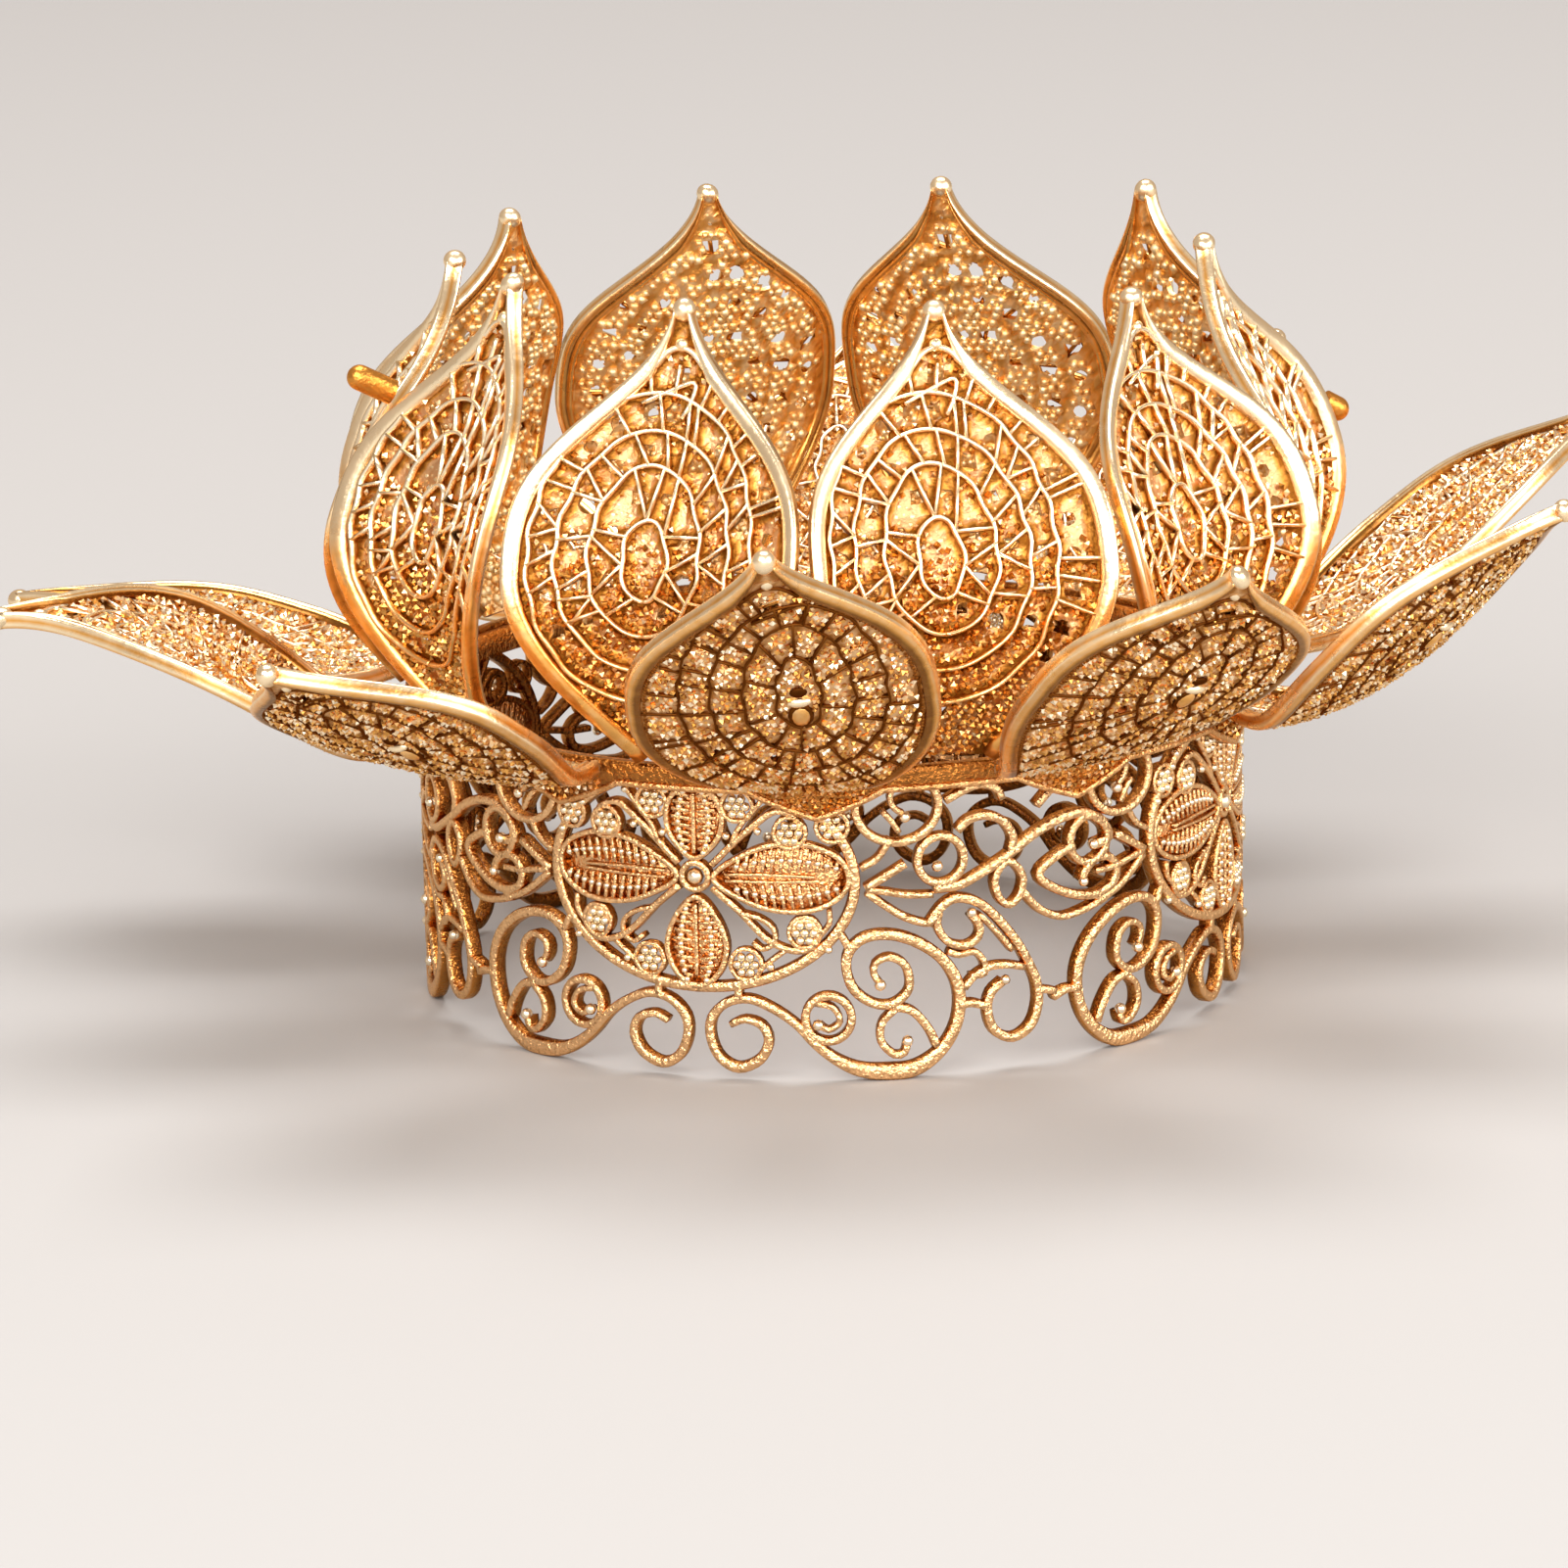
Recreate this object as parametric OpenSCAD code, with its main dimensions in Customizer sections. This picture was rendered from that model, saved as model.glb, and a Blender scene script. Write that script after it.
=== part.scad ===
// Lotus hair crown in gilt filigree: a pierced band, a collar with tails, and two rings of petals.
// Millimetres. Z is up, the front is -Y, and the origin is on the axis at the level of the lower edge.
// An azimuth is measured from the front towards +X.

/* [Band] */
// Outside diameter of the pierced band
band_od = 58.2; // [57.8:0.1:58.3]
// Thickness of the band's wire work
band_wall = 1.0; // [0.8:0.1:1.2]
// Height of the band
band_h = 22.0; // [21.6:0.1:22.0]
// Azimuth of the front medallion's middle
medallion_az = -16.9; // [-20:0.1:-14]
// Height of the medallions' middles
medallion_z = 14.2; // [13.9:0.1:14.4]

/* [Collar] */
// Radial thickness of the collar ribbon
collar_wall = 0.8; // [0.6:0.1:0.8]
// Height of the collar's upper edge
collar_top = 22.2; // [22.0:0.1:22.2]
// Height of the collar's lower edge between two tails
collar_valley = 20.5; // [20.2:0.1:20.8]
// Height of the lowest point of a tail
tail_z = 18.6; // [18.2:0.1:19.0]
// Width of a tail where it leaves the ribbon
tail_w = 9.0; // [8.0:0.5:10.0]
// Width of the blunt point of a tail
tail_flat = 0.6; // [0.4:0.1:1.0]

/* [Petals] */
// Width of the inner petals at their widest
inner_w = 21.2; // [20.0:0.1:21.2]
// Width of the outer petals at their widest
outer_w = 20.8; // [20.0:0.1:21.2]
// Thickness of the petals' web
web_t = 0.8; // [0.6:0.1:1.0]
// Width of the raised rim
rim_w = 1.35; // [1.0:0.05:1.4]
// Thickness of the raised rim
rim_t = 1.2; // [1.1:0.1:1.3]
// Diameter of the ball at each tip
ball_d = 1.7; // [1.5:0.1:1.8]

/* [Pegs] */
// Diameter of the two side pegs
peg_d = 1.8; // [1.4:0.1:1.8]
// Length of the side pegs
peg_len = 3.5; // [3.2:0.1:4.0]

/* [Hidden] */
$fn = 48;

petal_count = 10;
petal_step = 360 / petal_count;
quarter = 90;
gap = 0.1;

// Band and collar radii
band_r = band_od / 2;
band_in = band_r - band_wall;
collar_in = band_r + gap;
collar_r = collar_in + collar_wall;
tool_len = 8;

// Arc length to azimuth on the band
function turn_of(u) = u / band_r * 180 / PI;

// Half of the scroll panel's width, from a medallion's middle to the panel's middle
panel_u = band_r * PI / 4;

// Round gaps beside a medallion's middle, each cut on both sides of it
// Columns: distance along the band, height, radius
GAP_U = 0;
GAP_Z = 1;
GAP_R = 2;
SIDE_GAPS = [
    [2.9, medallion_z + 3.7, 0.90],
    [9.1, medallion_z - 3.4, 0.80],
    [4.3, medallion_z - 3.1, 1.00],
    [2.65, 2.6, 1.25],
    [9.3, 4.2, 1.15],
    [13.9, 7.9, 1.15],
    [14.5, 3.5, 1.00],
    [18.9, 11.1, 1.15],
    [17.7, 15.5, 1.30],
    [14.4, 18.3, 1.70],
    [21.1, 17.0, 1.15]
];
// Round gaps on the middle line of a scroll panel
MIDDLE_GAPS = [
    [panel_u, 5.0, 1.40],
    [panel_u, 13.4, 0.90],
    [panel_u, 9.8, 1.00]
];
// Round gap between the two small scrolls under a medallion
UNDER_GAP = [0, 4.9, 0.55];

// Pointed gaps between scrolls, each cut on both sides of a medallion
// Columns: distance along the band, height, half of the width, half of the length, lean outwards
LENS_W = 2;
LENS_L = 3;
LENS_LEAN = 4;
LENS_GAPS = [
    [16.5, 6.2, 0.65, 2.5, -8],
    [6.6, 5.9, 0.50, 1.5, -62]
];

// Discs whose outlines make the scalloped lower edge
// Columns: distance along the band, height of the middle, radius
SCROLL = [2.65, 2.6, 2.10];
SMALL_RING = [9.3, 4.2, 1.90];
LARGE_RING = [14.4, 4.1, 4.20];
MIDDLE_RING = [panel_u, 4.3, 2.25];

// Notches in the lower edge: each from disc to disc, and its top
NOTCHES = [
    [SCROLL, SMALL_RING, 4.4],
    [SMALL_RING, LARGE_RING, 3.4],
    [LARGE_RING, MIDDLE_RING, 4.6]
];
under_notch_top = 3.4;
lap = 0.1;

// Petal stations from base to tip
STATIONS = [0, 0.05, 0.12, 0.2, 0.3, 0.4, 0.5, 0.6, 0.7, 0.78, 0.85, 0.91, 0.955, 0.98, 1];
base_share = 0.30;
tip_share = 0.05;
rim_slope = 0.15;
ball_from = 0.965;

// Form of a petal
// Columns: full width, station of the widest place, fullness above it, hollowness across
WIDE = 0;
PEAK = 1;
FULL = 2;
CUP = 3;
INNER_FORM = [inner_w, 0.42, 1.54, -0.020];
OUTER_FORM = [outer_w, 0.46, 1.54, 0.012];

// Middle line of an inner petal as reach and height of its four control points
INNER_BASE = [29.6, 22.7];
INNER_LOW = [38.3, 34.6];
INNER_HIGH = [27.2, 40.9];
INNER_TIP = [26.4, 53.2];

// How each inner petal was bent by hand, from the one right of the front and on round
// Columns: change of the tip's reach, of its height, sideways bend, turn about its seat,
// added bulge, roll
LEAN = 0;
RISE = 1;
SWAY = 2;
TWIST = 3;
BULGE = 4;
TILT = 5;
INNER = [
    [-1.0, 0.1, 0.5, -1.5, 0, 0],
    [-0.2, -1.0, 0.8, 0, 0, 0],
    [0.1, -0.7, 3.2, -4.5, 0.9, 5],
    [0.4, 1.2, -1.7, 1.5, 0.9, -5],
    [-0.2, -0.3, 0.2, 0, 0, 0],
    [-0.4, -0.5, 1.0, -0.5, 0, 0],
    [0.3, -0.2, 1.7, -1.8, 0, 0],
    [-0.8, -0.7, -0.8, 0.8, -0.5, -3],
    [0.6, 1.3, 2.9, -3.3, -0.5, 3],
    [1.0, 0.9, 0.2, -1.0, 0, 0]
];

// How each outer petal was bent, from the front one and on round
// Columns: turn of its seat, turn about its seat, roll, sideways bend,
// reach and height of the low, the high and the last control point
OUTER_BASE = [30.4, 21.7];
SEAT = 0;
YAW = 1;
ROLL = 2;
BEND = 3;
LOW = 4;
HIGH = 5;
TIP = 6;
OUTER = [
    [-1.2, -2.7, -11, 0.5, [40.5, 21.5], [47.1, 35.5], [57.7, 43.2]],
    [-7.5, 9.3, 11, -4.6, [42.6, 23.5], [50.7, 34.0], [59.5, 40.6]],
    [0.5, -13.8, 1, -1, [41.8, 18.8], [47.5, 34.8], [57.1, 38.3]],
    [-0.4, -1.1, 8, 0, [42.5, 20.5], [49.5, 34.5], [59.8, 36.8]],
    [0, 3, -4, 0, [39.5, 19.0], [48.5, 32.5], [57.8, 36.5]],
    [0, -2, 3, 0.5, [39.5, 17.5], [47.5, 32.0], [57.0, 34.5]],
    [0, 3, -5, 0, [39.0, 16.5], [48.5, 29.0], [60.0, 29.0]],
    [0, 1, -8, -1.2, [39.3, 15.6], [51.6, 26.5], [63.9, 23.2]],
    [0, -7, 8, 1, [36.2, 15.1], [44.8, 32.4], [60.0, 30.1]],
    [1.4, -4.6, -14, 2.5, [44.2, 21.2], [49.7, 29.6], [61.9, 34.4]]
];

// Side pegs: azimuth, reach and height of the foot, climb above the level, length
PEG_AZ = 0;
PEG_REACH = 1;
PEG_Z = 2;
PEG_CLIMB = 3;
PEG_LEN = 4;
PEG_LEFT = [-72, 31.0, 44.5, 28, peg_len];
PEG_RIGHT = [108, 37.1, 38.6, -30, peg_len - 1.5];

GOLD = [0.86, 0.60, 0.25];
PALE_GOLD = [0.93, 0.74, 0.42];
DEEP_GOLD = [0.72, 0.45, 0.16];

// Point on a cubic curve and the direction of the curve there
function cubic(c, s) =
    pow(1 - s, 3) * c[0] + 3 * pow(1 - s, 2) * s * c[1] + 3 * (1 - s) * s * s * c[2] + pow(s, 3) * c[3];
function cubic_dir(c, s) =
    pow(1 - s, 2) * (c[1] - c[0]) + 2 * (1 - s) * s * (c[2] - c[1]) + s * s * (c[3] - c[2]);

// Half of a petal's width at station s: it swells from the base, then draws in to an ogee tip
function low_share(u) = base_share + (1 - base_share) * pow(sin(90 * u), 1.15);
function high_share(u, full) = tip_share + (1 - tip_share) * pow(cos(90 * pow(u, full)), 2);
function leaf_half(form, s) =
    form[WIDE] / 2 * (
        s < form[PEAK]
        ? low_share(s / form[PEAK])
        : high_share((s - form[PEAK]) / (1 - form[PEAK]), form[FULL])
    );

// Half-size of the tip ball at station s, zero below it
function ball_half(s) =
    s < ball_from ? 0 : ball_d / 2 * sqrt(max(0.3, 1 - pow((s - 0.982) / (1 - ball_from), 2)));

// Outline of one cross-section: cross position and height on the outer face, then back on the inner
function rim_row(half, rim) = [
    [-half, rim_t / 2],
    [-half + rim, rim_t / 2],
    [-half + rim + min(rim_slope, rim / 4), web_t / 2],
    [-(half - rim) * 0.45, web_t / 2],
    [0, web_t / 2],
    [(half - rim) * 0.45, web_t / 2],
    [half - rim - min(rim_slope, rim / 4), web_t / 2],
    [half - rim, rim_t / 2],
    [half, rim_t / 2]
];
function fatten(row, k) = [for (p = row) [p[0], p[1] * k]];
function section(form, s) =
    let (
        half = max(leaf_half(form, s), ball_half(s)),
        rim = min(rim_w, half * 0.4),
        k = max(1, ball_half(s) / (rim_t / 2)),
        row = fatten(rim_row(half, rim), k)
    )
    concat(row, [for (i = [len(row) - 1:-1:0]) [row[i][0], -row[i][1]]]);

// Place one outline point: cup and roll it, lay it square to the middle line, bend and turn the petal
function leaf_point(c, s, p, cup, roll, sway, yaw, az) =
    let (
        mid = cubic(c, s),
        g = cubic_dir(c, s) / norm(cubic_dir(c, s)),
        drop = p[1] - cup * p[0] * p[0],
        lat = p[0] * cos(roll * s) - drop * sin(roll * s) + sway * pow(s, 3),
        off = p[0] * sin(roll * s) + drop * cos(roll * s),
        reach = mid[0] + g[1] * off - c[0][0],
        z = mid[1] - g[0] * off,
        r = c[0][0] + reach * cos(yaw) - lat * sin(yaw),
        t = reach * sin(yaw) + lat * cos(yaw)
    )
    [r * sin(az) + t * cos(az), -r * cos(az) + t * sin(az), z];

// One closed petal through all its stations, with the end faces split across the thickness
module leaf(c, form, roll, sway, yaw, az) {
    loops = [
        for (s = STATIONS)
        [for (p = section(form, s)) leaf_point(c, s, p, form[CUP], roll, sway, yaw, az)]
    ];
    n = len(loops[0]);
    last = len(loops) - 1;
    half = n / 2;
    points = [for (ring = loops) each ring];
    sides = [
        for (i = [0:last - 1], j = [0:n - 1])
        let (a = i * n + j, b = i * n + (j + 1) % n)
        each [[a, b, b + n], [a, b + n, a + n]]
    ];
    foot = [for (j = [0:half - 2]) each [[j, n - 1 - j, j + 1], [j + 1, n - 1 - j, n - 2 - j]]];
    head = [for (f = foot) [f[0] + last * n, f[2] + last * n, f[1] + last * n]];
    polyhedron(points, concat(sides, foot, head), convexity = 6);
}

// Carry a flat shape from the tangent plane through the band's wall at azimuth az
module through(az) {
    rotate([0, 0, az])
        translate([0, -band_r, 0])
            rotate([90, 0, 0])
                linear_extrude(height = tool_len, center = true)
                    children();
}

module round_gap(az, g) {
    rotate([0, 0, az])
        translate([0, -band_r, g[GAP_Z]])
            rotate([90, 0, 0])
                cylinder(r = g[GAP_R], h = tool_len, center = true);
}

// Pointed gap, the overlap of two equal circles
module lens_gap(az, g, side) {
    r = (pow(g[LENS_W], 2) + pow(g[LENS_L], 2)) / (2 * g[LENS_W]);
    through(az + side * turn_of(g[GAP_U]))
        translate([0, g[GAP_Z]])
            rotate(-side * g[LENS_LEAN])
                intersection() {
                    translate([g[LENS_W] - r, 0]) circle(r = r);
                    translate([r - g[LENS_W], 0]) circle(r = r);
                }
}

// Notch in the lower edge, bounded on its two sides by discs a and b
module notch(az, a, b, top) {
    from = a[GAP_U] - lap;
    to = b[GAP_U] + lap;
    mid = (from + to) / 2;
    through(az + turn_of(mid))
        difference() {
            translate([from - mid, -1]) square([to - from, top + 1]);
            translate([a[GAP_U] - mid, a[GAP_Z]]) circle(r = a[GAP_R]);
            translate([b[GAP_U] - mid, b[GAP_Z]]) circle(r = b[GAP_R]);
        }
}

// Entry g moved to the other side of the medallion's middle where side is -1
function on_side(g, side) = [side * g[GAP_U], g[GAP_Z], g[GAP_R]];

// Half of the pattern on one side of a medallion's middle
module half_pattern(az, side) {
    for (g = SIDE_GAPS) round_gap(az + side * turn_of(g[GAP_U]), g);
    for (g = LENS_GAPS) lens_gap(az, g, side);
    for (n = NOTCHES) {
        near = on_side(n[0], side);
        far = on_side(n[1], side);
        if (side > 0) notch(az, near, far, n[2]);
        else notch(az, far, near, n[2]);
    }
}

// Pierced band: the tube less four repeats of the gaps and the scalloped lower edge
module band() {
    color(GOLD)
        difference() {
            cylinder(r = band_r, h = band_h, $fn = 180);
            translate([0, 0, -1])
                cylinder(r = band_in, h = band_h + 2, $fn = 180);
            for (q = [0:3]) {
                az = medallion_az + q * quarter;
                for (side = [-1, 1]) half_pattern(az, side);
                for (g = MIDDLE_GAPS) round_gap(az + quarter / 2, g);
                round_gap(az, UNDER_GAP);
                notch(az, on_side(SCROLL, -1), SCROLL, under_notch_top);
            }
        }
}

// Cut between two neighbouring tails, from tail point to tail point, running on below the ribbon
module tail_gap() {
    reach = collar_r * sin(petal_step / 2) - tail_flat / 2;
    shoulder = reach - tail_w * 0.28;
    shoulder_z = tail_z + (collar_valley - tail_z) * 0.7;
    slope = (reach - shoulder) / (shoulder_z - tail_z);
    valley = reach - tail_w / 2;
    polygon([
        [-reach - slope, tail_z - 1],
        [reach + slope, tail_z - 1],
        [shoulder, shoulder_z],
        [valley, collar_valley],
        [-valley, collar_valley],
        [-shoulder, shoulder_z]
    ]);
}

// Collar ribbon with a pointed tail under each outer petal
module petal_collar() {
    color(DEEP_GOLD)
        difference() {
            translate([0, 0, tail_z])
                cylinder(r = collar_r, h = collar_top - tail_z, $fn = 180);
            translate([0, 0, tail_z - 1])
                cylinder(r = collar_in, h = collar_top - tail_z + 2, $fn = 180);
            for (i = [0:petal_count - 1]) through((i + 0.5) * petal_step) tail_gap();
        }
}

module inner_petal(i) {
    bent = INNER[i];
    c = [
        INNER_BASE,
        INNER_LOW + [bent[BULGE], 0],
        INNER_HIGH + [bent[LEAN] * 0.8, 0],
        INNER_TIP + [bent[LEAN], bent[RISE]]
    ];
    color(PALE_GOLD)
        leaf(c, INNER_FORM, bent[TILT], bent[SWAY], bent[TWIST], (i + 0.5) * petal_step);
}

// Reach of an outer petal's seat, so that its turned and tilted foot just clears the collar
function seat_reach(bent) =
    let (
        dir = bent[LOW] - OUTER_BASE,
        tilt = abs(dir[1]) / norm(dir) * rim_t / 2,
        foot = leaf_half(OUTER_FORM, 0),
        swing = foot * sin(abs(bent[YAW])) - foot * foot / (2 * collar_r)
    )
    collar_r + gap + tilt + max(0, swing);

module outer_petal(i) {
    bent = OUTER[i];
    c = [[seat_reach(bent), OUTER_BASE[1]], bent[LOW], bent[HIGH], bent[TIP]];
    color(GOLD)
        leaf(c, OUTER_FORM, bent[ROLL], bent[BEND], bent[YAW], i * petal_step + bent[SEAT]);
}

// Short pin with a domed end, standing out from the joint of two inner petals
module side_peg(peg) {
    r = peg_d / 2;
    shaft = peg[PEG_LEN] - r;
    color(DEEP_GOLD)
        rotate([0, 0, peg[PEG_AZ]])
            translate([0, -peg[PEG_REACH], peg[PEG_Z]])
                rotate([90 - peg[PEG_CLIMB], 0, 0])
                    rotate_extrude($fn = 48)
                        intersection() {
                            union() {
                                square([r, shaft]);
                                translate([0, shaft]) circle(r = r);
                            }
                            square([r, peg[PEG_LEN]]);
                        }
}

band();
petal_collar();
inner_petal(0);  // inner_petal_01
inner_petal(1);  // inner_petal_02
inner_petal(2);  // inner_petal_03
inner_petal(3);  // inner_petal_04
inner_petal(4);  // inner_petal_05
inner_petal(5);  // inner_petal_06
inner_petal(6);  // inner_petal_07
inner_petal(7);  // inner_petal_08
inner_petal(8);  // inner_petal_09
inner_petal(9);  // inner_petal_10
outer_petal(0);  // outer_petal_01
outer_petal(1);  // outer_petal_02
outer_petal(2);  // outer_petal_03
outer_petal(3);  // outer_petal_04
outer_petal(4);  // outer_petal_05
outer_petal(5);  // outer_petal_06
outer_petal(6);  // outer_petal_07
outer_petal(7);  // outer_petal_08
outer_petal(8);  // outer_petal_09
outer_petal(9);  // outer_petal_10
side_peg(PEG_LEFT);  // side_peg_left
side_peg(PEG_RIGHT);  // side_peg_right
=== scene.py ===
"""Lotus hair crown in gilt filigree: visible meshes, finishes, light and camera.

Tables and sizes are in millimetres, and each mesh is written in metres. Z is up, the front is -Y, and an
azimuth is measured from the front towards +X. Every ornament is first laid out flat, as two lengths along
the surface and a height off it, and then carried onto its petal or onto the band.
"""

from __future__ import annotations

import logging
import math
from dataclasses import dataclass, field, fields
from enum import IntEnum

import bpy
import numpy as np
from mathutils import Matrix

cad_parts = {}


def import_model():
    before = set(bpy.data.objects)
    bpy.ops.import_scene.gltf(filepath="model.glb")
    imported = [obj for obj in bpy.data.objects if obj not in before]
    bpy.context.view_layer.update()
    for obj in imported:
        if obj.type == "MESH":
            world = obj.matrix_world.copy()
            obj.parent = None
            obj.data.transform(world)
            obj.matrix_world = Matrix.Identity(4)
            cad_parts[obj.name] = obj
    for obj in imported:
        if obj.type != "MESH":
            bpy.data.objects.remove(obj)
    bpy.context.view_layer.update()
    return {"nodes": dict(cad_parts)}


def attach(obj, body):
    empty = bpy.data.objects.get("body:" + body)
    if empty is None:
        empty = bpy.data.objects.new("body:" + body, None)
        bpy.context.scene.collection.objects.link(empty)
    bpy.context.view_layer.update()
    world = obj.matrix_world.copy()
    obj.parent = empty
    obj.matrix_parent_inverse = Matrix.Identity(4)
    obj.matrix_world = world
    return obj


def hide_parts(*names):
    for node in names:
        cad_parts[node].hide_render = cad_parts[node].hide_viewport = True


Array = np.ndarray
Row = tuple[float, ...]
# Points, four-sided faces and three-sided faces
Parts = tuple[Array, Array, Array]
NO_QUADS = np.zeros((0, 4), int)
NO_TRIS = np.zeros((0, 3), int)

LOG = logging.getLogger("crown")
MM = 0.001
DEG = math.pi / 180.0
PETALS = 10
STEP = 360.0 / PETALS
BAND_R = 29.1


class Skin(IntEnum):
    """Finish of a face, as its piece's material index."""

    RIM = 0
    WIRE = 1
    WEB = 2
    GROOVE = 3
    BED = 4
    BEAD = 5


class Face(IntEnum):
    """Which way a petal's good face looks, as the sign of its height off the petal."""

    OUT = 1
    UP = -1


# Mesh tools


@dataclass
class Buffer:
    """Points, faces and shades of a mesh that is put together from parts.

    A row of quads or tris holds a face's corners, then its Skin, then 1 where it is a cut facet.
    """

    points: list[Array] = field(default_factory=list)
    shades: list[Array] = field(default_factory=list)
    quads: list[Array] = field(default_factory=list)
    tris: list[Array] = field(default_factory=list)
    count: int = 0

    def add(self, parts: Parts, skin: int | Array, shade: float | Array, flat: bool = False) -> None:
        """Add one part.

        Args:
            parts: its points and faces.
            skin: the finish of its faces, for all or one for each.
            shade: painted light, from 0 for painted shade in deep hollows to 1 for painted highlights on
                edges, for all or one for each point.
            flat: True where its faces are cut facets.
        """
        points, quads, tris = parts
        self.points.append(points)
        self.shades.append(np.broadcast_to(shade, len(points)))
        for held, faces in ((self.quads, quads), (self.tris, tris)):
            if len(faces):
                marks = [np.broadcast_to(mark, len(faces)) for mark in (skin, int(flat))]
                held.append(np.column_stack([faces + self.count, *marks]))
        self.count += len(points)

    def joined(self) -> Buffer:
        """The same mesh with each list joined into one array."""
        lists = (self.points, self.shades, self.quads, self.tris)
        return Buffer(*([np.concatenate(one)] for one in lists), self.count)

    def append(self, other: Buffer, points: Array, mirrored: bool = False) -> None:
        """Add a joined mesh with its points moved elsewhere.

        Args:
            other: the joined mesh.
            points: its points in their new places.
            mirrored: True where the move turns the mesh inside out, so that its faces are turned back.
        """
        self.points.append(points)
        self.shades.append(other.shades[0])
        for held, rows in ((self.quads, other.quads[0]), (self.tris, other.tris[0])):
            corners = rows[:, :-2][:, :: -1 if mirrored else 1]
            held.append(np.concatenate([corners + self.count, rows[:, -2:]], 1))
        self.count += len(points)

    def build(self, name: str, materials: list[bpy.types.Material]) -> bpy.types.Object:
        """Write the mesh into Blender.

        Args:
            name: the piece's name.
            materials: one material for each Skin.

        Returns:
            The new object, at the origin, with its place in its mesh.
        """
        whole = self.joined()
        quads, tris = whole.quads[0], whole.tris[0]
        corners = np.concatenate([quads[:, :4].ravel(), tris[:, :3].ravel()])
        starts = np.concatenate([np.arange(len(quads)) * 4, len(quads) * 4 + np.arange(len(tris)) * 3])
        skins, flats = np.concatenate([quads[:, 4:], tris[:, 3:]]).T
        mesh = bpy.data.meshes.new(name)
        mesh.vertices.add(whole.count)
        mesh.loops.add(len(corners))
        mesh.polygons.add(len(starts))
        mesh.vertices.foreach_set("co", (whole.points[0] * MM).astype(np.float32).ravel())
        mesh.loops.foreach_set("vertex_index", corners.astype(np.int32))
        mesh.polygons.foreach_set("loop_start", starts.astype(np.int32))
        mesh.polygons.foreach_set("material_index", skins.astype(np.int32))
        mesh.polygons.foreach_set("use_smooth", flats == 0)
        mesh.update(calc_edges=True)
        shade = mesh.attributes.new("shade", "FLOAT", "POINT")
        shade.data.foreach_set("value", whole.shades[0].astype(np.float32))
        for material in materials:
            mesh.materials.append(material)
        piece = bpy.data.objects.new(name, mesh)
        bpy.context.scene.collection.objects.link(piece)
        LOG.info("%s: %d triangles", name, 2 * len(quads) + len(tris))
        return piece


def raised(flat: Array, height: float | Array) -> Array:
    """Flat points with a height off the surface, for all or one for each."""
    return np.column_stack([flat, np.broadcast_to(height, len(flat))])


def turned(parts: Parts, side: int) -> Parts:
    """A flat mesh as it is where side is 1, and turned over to the other side where it is -1."""
    points, quads, tris = parts
    return points * [1, 1, side], quads[:, ::side], tris[:, ::side]


def oval(u: float, v: float, half: float, high: float, turn: Array) -> Array:
    """Points of an oval round a middle at the given turns, from its right side anticlockwise."""
    return np.stack([u + half * np.cos(turn), v + high * np.sin(turn)], 1)


def ring_quads(rows: int, around: int, closed: bool) -> Array:
    """Join rows of points, each of them a ring, by four-sided faces.

    Args:
        rows: number of rings.
        around: points of a ring.
        closed: True where the last ring runs on to the first.

    Returns:
        The faces, their corners numbered ring by ring.
    """
    i, j = np.meshgrid(np.arange(rows if closed else rows - 1), np.arange(around), indexing="ij")
    i2, j2 = (i + 1) % rows, (j + 1) % around
    corners = [i * around + j, i2 * around + j, i2 * around + j2, i * around + j2]
    return np.stack(corners, -1).reshape(-1, 4)


def spline(knots: Array, closed: bool, step: float) -> Array:
    """Smooth line through knots.

    Between two knots it is the cubic whose slope at each is half the way from the knot before to the knot
    after. Each span gets as many points as its length holds steps.

    Args:
        knots: one row for each knot, its first two columns a place and any others carried along.
        closed: True where the last knot runs on to the first.
        step: distance between points.

    Returns:
        One row for each point, with the columns of the knots.
    """
    if closed:
        k = np.concatenate([knots[-1:], knots, knots[:2]])
    else:
        k = np.concatenate([2 * knots[:1] - knots[1:2], knots, 2 * knots[-1:] - knots[-2:-1]])
    spans = []
    for a, b, c, d in zip(k[:-3], k[1:-2], k[2:-1], k[3:]):
        n = max(2, int(math.ceil(np.linalg.norm((c - b)[:2]) / step)))
        t = (np.arange(n) / n)[:, None]
        low = 2 * b + (c - a) * t + (2 * a - 5 * b + 4 * c - d) * t**2
        spans.append(0.5 * (low + (3 * b - a - 3 * c + d) * t**3))
    return np.concatenate(spans if closed else spans + [k[-2:-1]])


def directions(path: Array, closed: bool) -> Array:
    """Unit direction at each point of a flat path, from the point before to the point after."""
    d = np.roll(path, -1, 0) - np.roll(path, 1, 0) if closed else np.gradient(path, axis=0)
    return d / np.maximum(np.linalg.norm(d, axis=1, keepdims=True), 1e-9)


STRIP_FORM = np.array([[0.5, -0.5], [0.5, 0.5], [-0.5, 0.5], [-0.5, -0.5]])
WIRE_FORM = np.array([[0.5, -0.5], [0.5, 0.15], [0.28, 0.5], [-0.28, 0.5], [-0.5, 0.15], [-0.5, -0.5]])
HALF_FORM = np.array([[0.36, -0.5], [0.5, -0.3], [0.5, 0.3], [0.36, 0.5]])
ROUND_FORM = np.concatenate([HALF_FORM, HALF_FORM[::-1] * [-1, 1]])


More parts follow.
